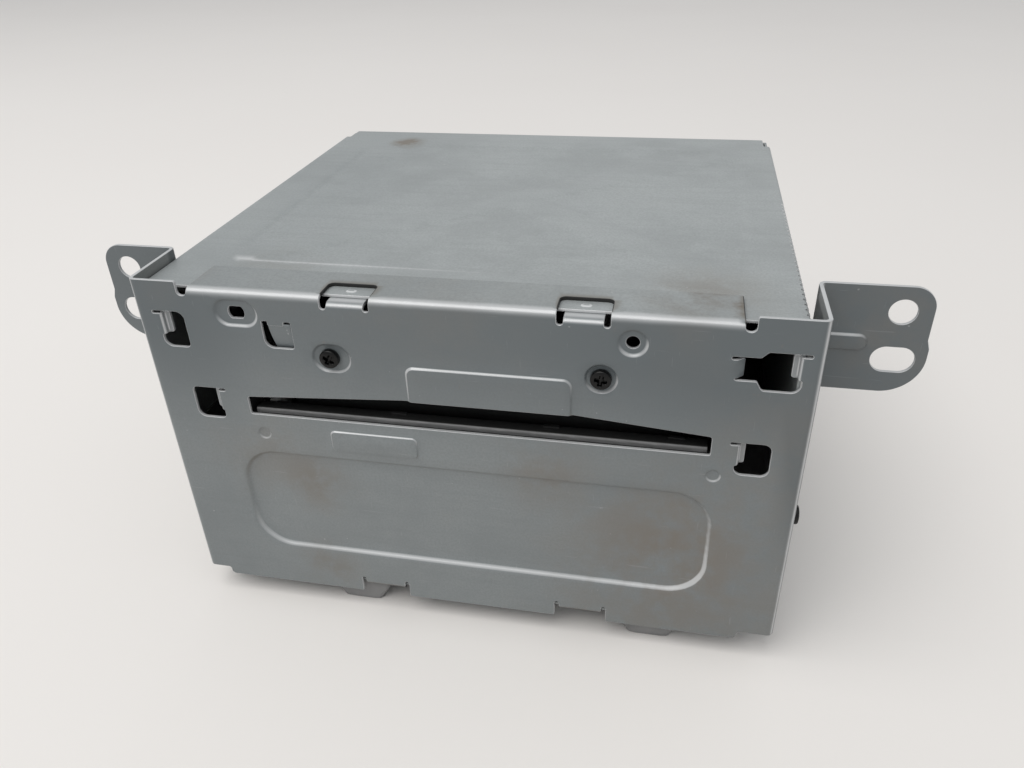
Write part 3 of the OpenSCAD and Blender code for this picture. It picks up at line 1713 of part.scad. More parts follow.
// Moves the bench frame to the part's origin, under the middle of the whole part
module placed() {
    translate([0, front_y, foot_h])
        children();
}

placed() front_plate();
placed() top_cover();
placed() chassis_tub();
placed() rear_panel();
placed() feet();
placed() foot_rivets();
placed() slot_guide();
placed() slot_rail();
placed() front_screws();
placed() side_screws();
placed() shelf_screws();
placed() rear_screws();
placed() deck_shelf();
placed() main_board();
placed() board_posts();
placed() board_screws();
placed() tuner_can();
placed() aerial_socket();
placed() power_socket();
placed() socket_pins();
placed() heat_sink();
placed() sink_screws();
placed() amplifier_chip();
placed() chip_clamp();
placed() clamp_screws();
placed() capacitors();
placed() power_choke();
placed() control_chips();
placed() ribbon_socket();
placed() deck_ribbon();
placed() dampers();
placed() damper_springs();
placed() deck_frame();
placed() deck_bridge();
placed() bridge_screws();
placed() deck_board();
placed() disc_guide();
placed() feed_shaft();
placed() feed_roller();
placed() roller_gear();
placed() drive_gear();
placed() drive_axle();
placed() drive_belt();
placed() loading_motor();
placed() motor_pulley();
placed() spindle_motor();
placed() spindle_shaft();
placed() turntable();
placed() turntable_pad();
placed() guide_rods();
placed() pickup_sled();
placed() pickup_lens();
placed() lead_screw();
placed() sled_motor();
placed() clamp_arm();
placed() clamp_pin();
placed() clamp_puck();
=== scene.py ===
import json
import math

import bmesh
import bpy
import numpy as np
from mathutils import Matrix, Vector
from mathutils.geometry import delaunay_2d_cdt


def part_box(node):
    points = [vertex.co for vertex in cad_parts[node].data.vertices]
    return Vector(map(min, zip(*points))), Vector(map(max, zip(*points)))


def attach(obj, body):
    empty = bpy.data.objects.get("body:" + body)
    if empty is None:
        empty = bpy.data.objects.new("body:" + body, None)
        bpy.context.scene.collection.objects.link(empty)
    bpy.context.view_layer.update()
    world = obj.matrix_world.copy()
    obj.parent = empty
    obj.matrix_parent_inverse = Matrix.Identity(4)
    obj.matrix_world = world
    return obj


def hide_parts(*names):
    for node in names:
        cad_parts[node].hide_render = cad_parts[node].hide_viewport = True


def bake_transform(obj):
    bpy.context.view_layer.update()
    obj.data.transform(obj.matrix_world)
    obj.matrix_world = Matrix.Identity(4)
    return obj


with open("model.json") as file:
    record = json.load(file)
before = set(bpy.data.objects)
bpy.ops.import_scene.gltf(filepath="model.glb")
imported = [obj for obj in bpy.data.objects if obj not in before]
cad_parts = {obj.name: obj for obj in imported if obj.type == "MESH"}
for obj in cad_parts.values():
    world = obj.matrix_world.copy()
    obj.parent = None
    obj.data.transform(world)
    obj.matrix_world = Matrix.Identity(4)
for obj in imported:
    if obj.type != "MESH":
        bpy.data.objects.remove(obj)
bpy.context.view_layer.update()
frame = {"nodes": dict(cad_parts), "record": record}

# Bench frame in millimetres: x as in the part, y back from the plate's face, z up from the tub floor
plate_low, plate_high = (1000 * np.array(corner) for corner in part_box("front_plate"))
cover_low, cover_high = (1000 * np.array(corner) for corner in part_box("top_cover"))
brow_rise = 0.7
face_y = plate_low[1] + brow_rise
floor_z = 1000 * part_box("chassis_tub")[0][2]
to_part = np.array([0, face_y, floor_z])

# Case
case_x0 = cover_low[0]
case_x1 = cover_high[0]
case_top = cover_high[2] - floor_z
case_back = cover_high[1] - face_y
cover_front = cover_low[1] - face_y

# Front plate
plate_t = 1.0
bend_in = 1.0
bend_out = bend_in + plate_t
quarter = math.pi / 2
sheet_span = 300
long_run = (200, 0)
plate_x0 = case_x0 - 1.15
plate_x1 = case_x1 + 3.85
plate_mid = (plate_x0 + plate_x1) / 2
plate_top = plate_high[2] - floor_z
low_edge = -3.6
corner_low = -0.8
flange_x0 = plate_x0 + 16.9
flange_x1 = plate_x1 - 19.5
flange_d = 16.0
relief_w = 2.7
top_fold = case_top + plate_t - bend_out
relief_z = top_fold - 0.3
lock_x = 31.4
tab_shift = -0.5
tab_w = 10.2
window_w = 13.6
window_d = 9.0
window_end = top_fold + bend_out * (quarter - 1) + window_d
tab_fold = case_top - 0.85 - bend_out
floor_tab_w = 13.0
floor_notch_w = 15.8
floor_tab_d = 10.0
floor_fold = bend_out - plate_t
floor_relief = floor_fold + 1.3

# Ears
ear_y = 22.5
ear_reach = plate_high[0]
ear_edge = ear_reach - 0.8
ear_low = plate_top - 30.7
ear_hole_x = ear_reach - 8.3
ear_hole_r = 3.5
ear_hole_z = plate_top - 7.1
ear_slot = (11, 7.4)
ear_slot_z = plate_top - 20.9
ear_rib_z = plate_top - 16.3
ear_rib_rise = 0.9
ear_rib_w = 5.3
side_run = ear_y - bend_in - bend_out
side_flange_d = 14.0
ear_shift = (bend_out + bend_in) * (quarter - 1) + side_run

# Disc slot, holes, screws and the windows of the fascia's clips
slot_x0 = -65.5
slot_x1 = 64.9
slot_low = 62.65
slot_end_top = slot_low + 5.85
slot_mid_top = slot_low + 9.05
slot_peak = (-18.3, 28.7)
key_x = plate_x0 + 30.35
key_z = case_top - 5.6
key_r = 2.4
key_flat = 1.8
peg_x = 43.3
peg_z = case_top - 6.55
peg_r = 1.75
screw_x = (-38.1, 35.7)
screw_z = case_top - 17.5
dimple = 0.8
side_screw = (7, 40.5)
screw_l = 6
side_screw_l = 5
clip_low = case_top - 17.3
hook_h = 6.4
hook_relief = 0.95
hook_relief_l = 1.6
hook_bend = 1.0
hook_runs = [(hook_bend * quarter, hook_bend), (0.4, 0), (0.4 * quarter, -0.4), (1.1, 0)]
hook_flat = sum(length for length, _ in hook_runs)
lance_x1 = key_x + 15.65
lance_x0 = key_x + 7.15
lance_low = clip_low + 1.8
lance_top = clip_low + 8.7
lance_relief = 1.3
lance_tab_w = 6.7
gap_w = 0.3

# Feet and the soft mounts of the disc deck
foot_x = (-41.6, 52.4)
foot_half_w = 9.7
foot_half_l = 8.0
damper_r = 4.2
spring_r = damper_r + 1.7
spring_wire_r = 0.4
spring_turns = 4
ribbon_t = 0.3
ribbon_bend = 2.0
ribbon_plug = 4

# Pressings of the plate: u, v, width, height, corner radius, depth to the rear, width of the slope
plate_pressings = [
    (plate_mid, slot_low - 31.75, 140.5, 37.8, 12, 1.3, 1.7),
    (screw_x[0] + 0.5, screw_z, 11.5, 9.2, 4.6, dimple, 0.9),
    (screw_x[1], screw_z, 9, 9, 4.5, dimple, 0.9),
    (peg_x, peg_z, 8.2, 8.2, 4.1, dimple, 1.2),
    (key_x, key_z, 13.3, 8.8, 4.4, dimple, 1.2),
    (-62.6, slot_low - 6.55, 4.4, 4.4, 2.2, 0.5, 0.8),
    (66.2, slot_low - 6.55, 4.4, 4.4, 2.2, 0.5, 0.8),
    (-28.6, slot_low - 6.9, 26.2, 7.3, 1.6, -0.5, 0.5),
    (5.75, slot_mid_top + 4.55, 45.5, 13.1, 2.6, -brow_rise, 0.8),
]


def rounded(corners, step=0.35):
    """Closed outline through corners (u, v, radius): an arc that touches both sides takes the place of
    each corner, its centre r / sin(half angle) along the bisector."""
    c = np.array(corners, float)
    runs = []
    for i in range(len(c)):
        q = c[i, :2]
        r = c[i, 2]
        a = c[i - 1, :2] - q
        b = c[(i + 1) % len(c), :2] - q
        a /= np.linalg.norm(a)
        b /= np.linalg.norm(b)
        half = math.acos(np.clip(a @ b, -1, 1)) / 2
        if r <= 0 or half > 1.5:
            runs.append(q[None])
            continue
        mid = q + (a + b) / np.linalg.norm(a + b) * r / math.sin(half)
        start, end = q + a * r / math.tan(half) - mid, q + b * r / math.tan(half) - mid
        first = math.atan2(start[1], start[0])
        turn = (math.atan2(end[1], end[0]) - first + math.pi) % (2 * math.pi) - math.pi
        angle = first + turn * np.linspace(0, 1, max(4, int(abs(turn) * r / step) + 2))
        runs.append(mid + r * np.stack([np.cos(angle), np.sin(angle)], 1))
    return np.concatenate(runs)


def round_angles(count):
    """Even angles round a full turn."""
    return np.arange(count) * 2 * math.pi / count


def circle(u, v, r, count=36):
    """Round outline: (u + r cos t, v + r sin t)."""
    t = round_angles(count)
    return np.stack([u + r * np.cos(t), v + r * np.sin(t)], 1)


def round_box(u, v, w, h, r):
    """Rectangle with round corners about (u, v)."""
    return rounded([(u + a * w / 2, v + b * h / 2, r) for a, b in ((-1, -1), (1, -1), (1, 1), (-1, 1))])


def mirrored(x, half):
    """Corners left of a middle line, followed by the same to the right of it in the other order."""
    return [(x - u, v, r) for u, v, r in half] + [(x + u, v, r) for u, v, r in reversed(half)]


def divided(ring, step):
    """Closed outline with each side cut into equal pieces no longer than the step."""
    ends = np.roll(ring, -1, axis=0)
    count = np.maximum(1, np.ceil(np.linalg.norm(ends - ring, axis=1) / step)).astype(int)
    side = np.repeat(np.arange(len(ring)), count)
    t = (np.arange(count.sum()) - np.repeat(np.cumsum(count) - count, count)) / np.repeat(count, count)
    return ring[side] + (ends - ring)[side] * t[:, None]


def turned(ring, ccw):
    """The outline running counterclockwise, or clockwise, by the sign of its shoelace area."""
    nxt = np.roll(ring, -1, axis=0)
    area = (ring[:, 0] * nxt[:, 1] - nxt[:, 0] * ring[:, 1]).sum()
    return ring if (area > 0) == ccw else ring[::-1]


def outward(ring):
    """Unit vectors to the right of the way along the outline, square to the chord of its neighbours."""
    way = np.roll(ring, -1, axis=0) - np.roll(ring, 1, axis=0)
    way /= np.maximum(np.linalg.norm(way, axis=1), 1e-9)[:, None]
    return np.stack([way[:, 1], -way[:, 0]], 1)


def inside(points, ring):
    """Even-odd rule: inside where a ray to the right crosses the outline an odd number of times."""
    a, b = ring, np.roll(ring, -1, axis=0)
    drop = np.where(b[:, 1] == a[:, 1], 1e-12, b[:, 1] - a[:, 1])
    hit = []
    for part in np.array_split(points, len(points) // 2000 + 1):
        x, y = part[:, :1], part[:, 1:]
        crosses = (a[:, 1] > y) != (b[:, 1] > y)
        at = a[:, 0] + (y - a[:, 1]) * (b[:, 0] - a[:, 0]) / drop
        hit.append((crosses & (x < at)).sum(1) % 2 == 1)
    return np.concatenate(hit)


def on_sheet(points, rings):
    """Which points lie inside the first outline and outside all the others."""
    keep = inside(points, rings[0])
    for ring in rings[1:]:
        keep &= ~inside(points, ring)
    return keep


def clear_of(points, others, gap):
    """Which points are further than the gap from all the others."""
    free = []
    for part in np.array_split(points, len(points) // 1000 + 1):
        d = (part[:, None, 0] - others[:, 0]) ** 2 + (part[:, None, 1] - others[:, 1]) ** 2
        free.append(d.min(1) > gap * gap)
    return np.concatenate(free)


def box_distance(uv, box):
    """Signed distance to a rectangle with round corners, negative inside."""
    u, v, w, h, r = box[:5]
    a = np.abs(uv[:, 0] - u) - w / 2 + r
    b = np.abs(uv[:, 1] - v) - h / 2 + r
    return np.hypot(np.maximum(a, 0), np.maximum(b, 0)) + np.minimum(np.maximum(a, b), 0) - r


def eased(distance, slope):
    """Smooth step from 0 at the outline to 1 a slope's width inside, and how steep it is there."""
    t = np.clip(-distance / slope, 0, 1)
    return t * t * (3 - 2 * t), 4 * t * (1 - t)


def bent_step(t, radius, heading):
    """Way forward, way aside and turn after a length t: straight where the radius is 0, else on an
    arc."""
    if not radius:
        return t * math.cos(heading), t * math.sin(heading), 0 * t
    turn = t / radius
    along = radius * (np.sin(heading + turn) - math.sin(heading))
    aside = radius * (math.cos(heading) - np.cos(heading + turn))
    return along, aside, turn


def bent_path(s, runs):
    """Way forward, way aside and heading at arc length s on a path of straight runs and bends, each
    (length, radius): a run keeps its heading, a bend of radius r turns it by length / r."""
    path = np.zeros((3, len(s)))
    now = np.zeros(3)
    used = 0.0
    for length, radius in runs:
        here = s >= used
        path[:, here] = now[:, None] + bent_step(np.minimum(s[here] - used, length), radius, now[2])
        now = now + bent_step(length, radius, now[2])
        used += length
    return path


def folded(uv, folds):
    """Front surface of a bent sheet and its normal. A fold (axis, start, way, low, high, reach, runs)
    takes the points beyond its start line and lays them along its bent path, backwards from the
    flat."""
    place = np.stack([uv[:, 0], 0 * uv[:, 0], uv[:, 1]], 1)
    normal = np.tile([0.0, -1.0, 0.0], (len(uv), 1))
    for axis, start, way, low, high, reach, runs in folds:
        s = (uv[:, axis] - start) * way
        other = uv[:, 1 - axis]
        mine = (s > 0) & (s < reach) & (other > low) & (other < high)
        along, aside, heading = bent_path(s[mine], runs)
        place[mine, 2 * axis] = start + way * along
        place[mine, 1] = aside
        normal[mine] = 0
        normal[mine, 2 * axis] = way * np.sin(heading)
        normal[mine, 1] = -np.cos(heading)
    return place, normal


def whole_fold(axis, start, way, runs):
    """Fold that runs right across the sheet."""
    return (axis, start, way, -sheet_span, sheet_span, sheet_span, runs)


def fold_lines(start, way, radius, count=7):
    """Lines across a quarter bend, so that its arc comes out in even strips."""
    return start + way * np.linspace(0, radius * quarter, count)


def rings_of(pressing, count=5):
    """Points on outlines between the foot and the top of a pressing's slope."""
    u, v, w, h, r, _, slope = pressing
    insets = slope * np.linspace(0, 1, count)
    step = max(0.3, 2 * slope / (count - 1))
    rings = [round_box(u, v, w - 2 * i, h - 2 * i, max(r - i, 0.25)) for i in insets]
    return np.concatenate([divided(ring, step) for ring in rings])


def make_mesh(name, points, faces, wear_and_light=None):
    """Mesh object from bench points and lists of faces, smooth, with its wear_and_light kept as an
    attribute: rubbed metal and dirt, together with painted highlight and painted shade.
    """
    mesh = bpy.data.meshes.new(name)
    mesh.from_pydata(((points + to_part) * 0.001).tolist(), [], faces)
    mesh.shade_smooth()
    if wear_and_light is not None:
        mesh.attributes.new("wear_and_light", "FLOAT", "POINT").data.foreach_set("value", wear_and_light.astype(np.float32))
    piece = bpy.data.objects.new(name, mesh)
    bpy.context.scene.collection.objects.link(piece)
    return piece


def flat_cut(rings, ways, edge_r, extra, lattice):
    """Triangles of a flat pattern between its outlines, drawn in by the edge radius, a second row of
    points beside them, the extra points and the lattice. Gives the points, the triangles turned
    counterclockwise, and the numbers of each outline's points."""
    inner_gap = 0.22
    slope_gap = 0.45
    wall_gap = 0.62
    borders = [ring - way * edge_r for ring, way in zip(rings, ways)]
    seconds = [ring - way * (edge_r + inner_gap) for ring, way in zip(rings, ways)]
    grid = np.stack(np.meshgrid(*lattice), -1).reshape(-1, 2)
    spare = np.concatenate([extra, grid[clear_of(grid, extra, slope_gap)]])
    spare = spare[on_sheet(spare, rings)]
    spare = spare[clear_of(spare, np.concatenate(rings), wall_gap)]
    flat = np.concatenate(borders + seconds + [spare])
    ends = np.cumsum([len(b) for b in borders])
    loops = [np.arange(end - len(b), end) for b, end in zip(borders, ends)]
    edges = np.concatenate([np.stack([loop, np.roll(loop, -1)], 1) for loop in loops])
    found, _, faces, origin, _, _ = delaunay_2d_cdt(flat.tolist(), edges.tolist(), [], 0, 1e-6)
    uv = np.array([(p[0], p[1]) for p in found])
    source = np.full(len(flat), -1)
    source[np.concatenate(origin)] = np.repeat(np.arange(len(origin)), [len(olds) for olds in origin])
    tris = np.array([f for f in faces if len(f) == 3])
    tris = tris[on_sheet(uv[tris].mean(1), borders)]
    a, b, c = uv[tris[:, 0]], uv[tris[:, 1]], uv[tris[:, 2]]
    flip = (b[:, 0] - a[:, 0]) * (c[:, 1] - a[:, 1]) < (b[:, 1] - a[:, 1]) * (c[:, 0] - a[:, 0])
    tris[flip] = tris[flip][:, ::-1]
    return uv, tris, [source[loop] for loop in loops]


def cut_sheet(name, outline, holes, extra, lattice, thick, surface, edge_r=0.14, added=None):
    """Bent sheet with round edges, from its flat pattern. surface(uv) gives place, normal, depth and
    wear_and_light; the back lies one thickness deeper along the normal, and a rim carried along every
    outline joins the two in quarter arcs of the edge radius. The rim is rubbed bright, or painted near
    black as shade beside a gap, and the back is painted darker as shade. An added piece, as points and
    faces, becomes part of the mesh."""
    step = 0.6
    back_shade, added_wear = -0.22, 0.2
    gap_below, gap_shade_rim, bright_rim = -0.4, -2, 1
    rings = [divided(turned(outline, True), step)] + [divided(turned(hole, False), step) for hole in holes]
    ways = [outward(ring) for ring in rings]
    uv, tris, loops = flat_cut(rings, ways, edge_r, extra, lattice)
    place, normal, depth, wear_and_light = surface(uv)
    points = [place - normal * depth[:, None], place - normal * (depth + thick)[:, None]]
    # The back is painted darker as shade.
    wear_and_light_parts = [wear_and_light, np.minimum(wear_and_light, back_shade)]
    solid = tris.tolist() + (tris[:, ::-1] + len(uv)).tolist()
    used = 2 * len(uv)
    arc = np.linspace(0, quarter, 4)[1:]
    offsets = np.concatenate([edge_r * (np.sin(arc) - 1), edge_r * (np.sin(arc[::-1]) - 1)])
    depths = np.concatenate([edge_r * (1 - np.cos(arc)), thick - edge_r * (1 - np.cos(arc[::-1]))])
    for ring, way, loop in zip(rings, ways, loops):
        rows = [loop]
        for offset, deep in zip(offsets, depths):
            place, normal, depth, wear_and_light = surface(ring + way * offset)
            points.append(place - normal * (depth + deep)[:, None])
            # Rims beside a gap are painted near black as shade, the others are rubbed bright.
            wear_and_light_parts.append(np.where(wear_and_light < gap_below, gap_shade_rim, bright_rim))
            rows.append(used + np.arange(len(ring)))
            used += len(ring)
        rows.append(loop + len(uv))
        for front, back in zip(rows, rows[1:]):
            solid += np.stack([front, back, np.roll(back, -1), np.roll(front, -1)], 1).tolist()
    if added:
        solid += [[used + i for i in face] for face in added[1]]
        points.append(added[0])
        wear_and_light_parts.append(np.full(len(added[0]), added_wear))
    return make_mesh(name, np.concatenate(points), solid, np.concatenate(wear_and_light_parts))


def hook_corners(edge, side, top):
    """Corners of a hook's flat tongue and of the relief slot over it, from the bottom up."""
    tip = edge - side * hook_flat
    beyond = edge + side * hook_relief_l
    return [
        (edge, top - hook_h, 0.3), (tip, top - hook_h, 0.6), (tip, top, 0.6),
        (beyond, top, 0.4), (beyond, top + hook_relief, 0.4),
    ]


def clip_window(x0, x1, low, high, side, corners):
    """Flat outline of a clip window: a round cornered hole with a tongue from one side, which folds back
    as the hook, and a relief slot over the tongue."""
    edge, far = (x0, x1) if side < 0 else (x1, x0)
    near_low, far_low, far_high = corners
    hook = hook_corners(edge, side, high - hook_relief)
    return rounded([(edge, low, near_low)] + hook + [(far, high, far_high), (far, low, far_low)])


def hook_fold(edge, side, top):
    """Fold of a clip's hook: a quarter bend to the rear, a short run, and a quarter bend across the
    window."""
    return (0, edge, -side, top - hook_h - 0.25, top + 0.25, hook_flat + 0.4, hook_runs[:-1] + [long_run])


# Clip windows: left, right, low and high edge, side of the hook, radii of the other corners
clips = [
    (plate_x0 + 6.7, plate_x0 + 14.5, clip_low, clip_low + 11, -1, (2.4, 1.3, 2.4)),
    (slot_x0 - 17, slot_x0 - 8.3, slot_low - 2.4, slot_low + 7.85, 1, (1.4, 2.4, 1.6)),
    (slot_x1 + 6.3, slot_x1 + 15.2, slot_low - 5.35, slot_low + 4.85, -1, (2.2, 2.2, 2.2)),
]
wide_clip = (plate_x1 - 14.2, plate_x1 - 4.7, clip_low, clip_low + 10.9)
keyhole = (plate_x1 - 20.7, clip_low + 2.5, clip_low + 9.2)
hooks = [(x0 if side < 0 else x1, side, high - hook_relief) for x0, x1, _, high, side, _ in clips]
hooks.append((wide_clip[1], 1, wide_clip[3] - hook_relief))


def keyhole_window():
    """Flat outline of the upper right window: a narrow end with a leaning tongue, sloped shoulders and
    a wide end with a hook like the others."""
    x0, x1, low, high = wide_clip
    end, end_low, end_high = keyhole
    tongue = end + 2.9
    return rounded([
        (end, end_low, 0.6), (x0 - 1, end_low, 0.6), (x0 + 0.4, low, 1.2), (x1, low, 2.4),
        *hook_corners(x1, 1, high - hook_relief), (x0 + 1, high, 0.9), (x0 - 0.7, end_high, 0.6),
        (end - 1.1, end_high, 0.45), (end - 1.1, end_high - 0.95, 0.45),
        (tongue, end_high - 0.95, 0.5), (tongue, end_low + 0.55, 0.5), (end, end_low + 0.55, 0.2),
    ])


def lance_window():
    """Outline of the lanced tab's window, with a relief notch at both ends of the fold."""
    tab_x0 = lance_x1 - lance_tab_w
    over = lance_top + lance_relief
    inner = lance_x1 - 1.6 * lance_relief
    return rounded([
        (lance_x0, lance_low, 2.6), (lance_x1, lance_low, 0.9), (lance_x1, over, 0.5), (inner, over, 0.5),
        (inner, lance_top, 0.3), (tab_x0, lance_top, 0.3), (tab_x0, over, 0.24), (lance_x0, over, 0.6),
    ])


def squarish(count):
    """Unit superellipse |a|^8 + |b|^8 = 1 by its angle."""
    t = round_angles(count)
    return [np.sign(wave) * np.abs(wave) ** 0.25 for wave in (np.cos(t), np.sin(t))]


def lance_tab(rows=14, count=32):
    """Lanced tab: a flat bar of squarish section carried down from the fold, leaning back with t^1.3,
    its left side drawing in by t^2, until it stands behind the window's lower edge."""
    a, b = squarish(count)
    t = np.linspace(0, 1, rows)[:, None]
    left = lance_x1 - lance_tab_w + t * t
    right = lance_x1 - 0.15
    x = (left + right) / 2 + (right - left) / 2 * a
    half_t, lean, over, under = 0.45, 1.6, 0.5, 1.3
    y = half_t + 0.12 + lean * t ** 1.3 + half_t * b
    z = lance_top + over - t * (lance_top - lance_low + over + under) + 0 * b
    ring = np.arange(count)
    faces = tube_faces(rows, count).tolist() + [ring[::-1].tolist(), (ring + (rows - 1) * count).tolist()]
    return np.stack([x, y, z], -1).reshape(-1, 3), faces


def cover_tab_window(x):
    """Flat outline of a window over the plate's top bend, with the tongue that bends back under the
    cover."""
    low = tab_fold + 0.1
    tip = tab_fold + bend_out * (quarter - 1) + window_d
    a, b = window_w / 2, tab_w / 2
    return rounded(mirrored(x, [(a, window_end, 1.6), (a, low, 0.8), (b, low, 0.8), (b, tip, 0.8)]))


def side_corners(edge):
    """Corners of the right hand side from the bottom up: the side flange, the ear beyond its bend and
    the top."""
    flange_u = edge + bend_out * (quarter - 1) + side_flange_d - bend_out
    far = ear_reach + ear_shift
    outer = ear_edge + ear_shift
    return [
        (flange_u, corner_low, 1.5), (flange_u, ear_low, 1.2), (far, ear_low, 10.6),
        (far, ear_low + 13.4, 2), (outer, ear_low + 16, 2), (outer, plate_top, 6),
    ]


def plate_outline():
    """Flat outline of the whole front plate: bottom edge with its two tabs, right side, top flange,
    left side."""
    tab_tip = floor_fold - bend_out * (quarter - 1) - floor_tab_d
    flange_tip = top_fold + bend_out * (quarter - 1) + flange_d
    low_x0 = plate_x0 + 7.8
    low_x1 = plate_x1 - 10.5
    corners = [(low_x0, corner_low, 0.9), (low_x0, low_edge, 1.4)]
    a, b = floor_notch_w / 2, floor_tab_w / 2
    half = [(a, low_edge, 0.4), (a, floor_relief, 0.69), (b, floor_relief, 0.69), (b, tab_tip, 1)]
    for x in (-lock_x, lock_x):
        corners += mirrored(x, half)
    corners += [(low_x1, low_edge, 1.4), (low_x1, corner_low, 0.9)]
    corners += side_corners(plate_x1)
    b = (flange_x1 - flange_x0) / 2
    a = b + relief_w
    half = [(a, plate_top, 0.5), (a, relief_z, 1.2), (b, relief_z, 1.2), (b, flange_tip, 1)]
    corners += mirrored(flange_x0 + b, half)[::-1]
    corners += [(-u, v, r) for u, v, r in reversed(side_corners(-plate_x0))]
    return rounded(corners)


def plate_folds():
    """Every fold of the front plate, the small tongues after the wide flanges."""
    ear = [(bend_out * quarter, bend_out), (side_run, 0), (bend_in * quarter, -bend_in), long_run]
    flange = [(bend_out * quarter, bend_out), long_run]
    folds = [
        whole_fold(0, plate_x1 - bend_out, 1, ear),
        whole_fold(0, plate_x0 + bend_out, -1, ear),
        (1, top_fold, 1, flange_x0 - 0.5, flange_x1 + 0.5, sheet_span, flange),
    ]
    for x in (-lock_x, lock_x):
        mid = x + tab_shift
        reach = bend_out * (quarter - 1) + window_d + 0.9
        a, b = tab_w / 2 + 0.4, floor_tab_w / 2 + 0.3
        folds.append((1, tab_fold, 1, mid - a, mid + a, reach, flange))
        folds.append((1, floor_fold, -1, x - b, x + b, sheet_span, flange))
    folds += [hook_fold(*hook) for hook in hooks]
    lean = [(0.7, 1.0), long_run]
    folds.append((0, keyhole[0], 1, keyhole[1] + 0.3, keyhole[2] - 0.75, 3.2, lean))
    return folds


def ear_ribs():
    """The stiffening bead of each ear, as a pressing that stands out, from the bend onto the ear."""
    ribs = []
    for edge, way in ((plate_x1, 1), (-plate_x0, -1)):
        start = edge + ear_shift - 3
        end = (edge + ear_reach) / 2 - 0.65 + ear_shift
        mid = way * (start + end) / 2
        ribs.append((mid, ear_rib_z, end - start, ear_rib_w, 2.6, -ear_rib_rise, ear_rib_rise))
    return ribs


def plate_holes():
    """Every outline cut through the plate: the clips' and cover tabs' windows, the disc slot, the peg
    hole, the round hole with two flats and the ears' holes."""
    holes = [clip_window(*clip) for clip in clips] + [keyhole_window(), lance_window()]
    holes += [cover_tab_window(x + tab_shift) for x in (-lock_x, lock_x)]
    slot = [
        (slot_x0, slot_low, 0.5), (slot_x1, slot_low, 0.5), (slot_x1, slot_end_top, 0.8),
        (slot_peak[1], slot_mid_top, 0), (slot_peak[0], slot_mid_top, 0), (slot_x0, slot_end_top, 0.8),
    ]
    flat = key_flat / key_r
    t = np.arccos(np.linspace(-flat, flat, 14))
    arc = key_r * np.stack([np.sin(t), -np.cos(t)], 1)
    holes += [rounded(slot), circle(peg_x, peg_z, peg_r), np.concatenate([arc, -arc]) + (key_x, key_z)]
    for way in (-1, 1):
        u = way * (ear_hole_x + ear_shift)
        holes.append(circle(u, ear_hole_z, ear_hole_r, 48))
        holes.append(round_box(u, ear_slot_z, *ear_slot, ear_slot[1] / 2 - 0.01))
    return holes


def plate_points(pressings):
    """Points that the cut has to keep: those on the pressings' slopes and a grid on each hook."""
    points = [rings_of(p) for p in pressings]
    for edge, side, top in hooks:
        u = edge - side * np.linspace(0, hook_flat, 15)
        v = top - np.linspace(0, hook_h, 12)
        points.append(np.stack(np.meshgrid(u, v), -1).reshape(-1, 2))
    return np.concatenate(points)


def plate_lattice():
    """Lines over the flat pattern: even ones, and close ones across every bend."""
    step, low, high = 3.0, -13, 120
    far = ear_reach + ear_shift
    us = [np.arange(-far, far, step)]
    us += [fold_lines(plate_x1 - bend_out, 1, bend_out), fold_lines(plate_x0 + bend_out, -1, bend_out)]
    for edge, way in ((plate_x1, 1), (-plate_x0, -1)):
        us.append(way * fold_lines(edge + bend_out * (quarter - 1) + side_run, 1, bend_in, count=6))
    vs = [np.arange(low, high, step)]
    for start, way in ((top_fold, 1), (tab_fold, 1), (floor_fold, -1)):
        vs.append(fold_lines(start, way, bend_out))
    return np.concatenate(us), np.concatenate(vs)


def plate_wear_and_light(uv, normal):
    """Rubbed metal and painted light of the plate between its pressings: above 0 on bends (rubbed bare
    metal and a painted highlight), along the flange's front (a painted highlight) and on the hooks
    (painted light), and far below 0 as painted shade in the gaps round the cover tabs, at the flange's
    right end and under the bottom tabs' bends."""
    bend_wear_and_highlight, flange_highlight, hook_painted_light = 0.95, 0.8, 0.45
    gap_shade, fold_shade = 2.0, 1.4
    u, v = uv.T
    slant = (1 - np.abs(normal).max(1)) / (1 - math.sqrt(0.5))
    front = np.exp(-((v - top_fold - bend_out) / 1.7) ** 2) * ((u > flange_x0) & (u < flange_x1))
    # Bends: rubbed bare metal and a painted highlight; a painted highlight along the flange's front.
    wear_and_light = np.maximum(bend_wear_and_highlight * slant, flange_highlight * front)
    for x in (-lock_x, lock_x):
        window = (x + tab_shift, window_end - window_d / 2, window_w, window_d, 1.6)
        near = np.exp(-(box_distance(uv, window) / gap_w) ** 2)
        # Painted near black shade in the gaps round the cover tab windows.
        wear_and_light -= gap_shade * near * (v > top_fold + 1.5 * bend_out)
        under = floor_fold - v
        # Painted near black shade under the bottom tab's bend.
        wear_and_light -= fold_shade * ((under > 0.7) & (under < 4) & (np.abs(u - x) < floor_tab_w / 2 + 0.3))
    # Painted near black shade in the gap at the flange's right end.
    wear_and_light -= gap_shade * np.exp(-((u - flange_x1) / gap_w) ** 2) * (v > top_fold + bend_out)
    end, low, high = keyhole
    wear_and_light[(u > end) & (u < end + 3.2) & (v > low + 0.6) & (v < high - 1)] = 0
    for edge, side, top in hooks:
        s = (edge - u) * side
        drop = top - v
        on_hook = (s > 0.6) & (s < hook_flat + 0.3) & (drop > -0.2) & (drop < hook_h + 0.2)
        # The hooks are painted lighter, as if lit.
        wear_and_light += hook_painted_light * on_hook
    return wear_and_light


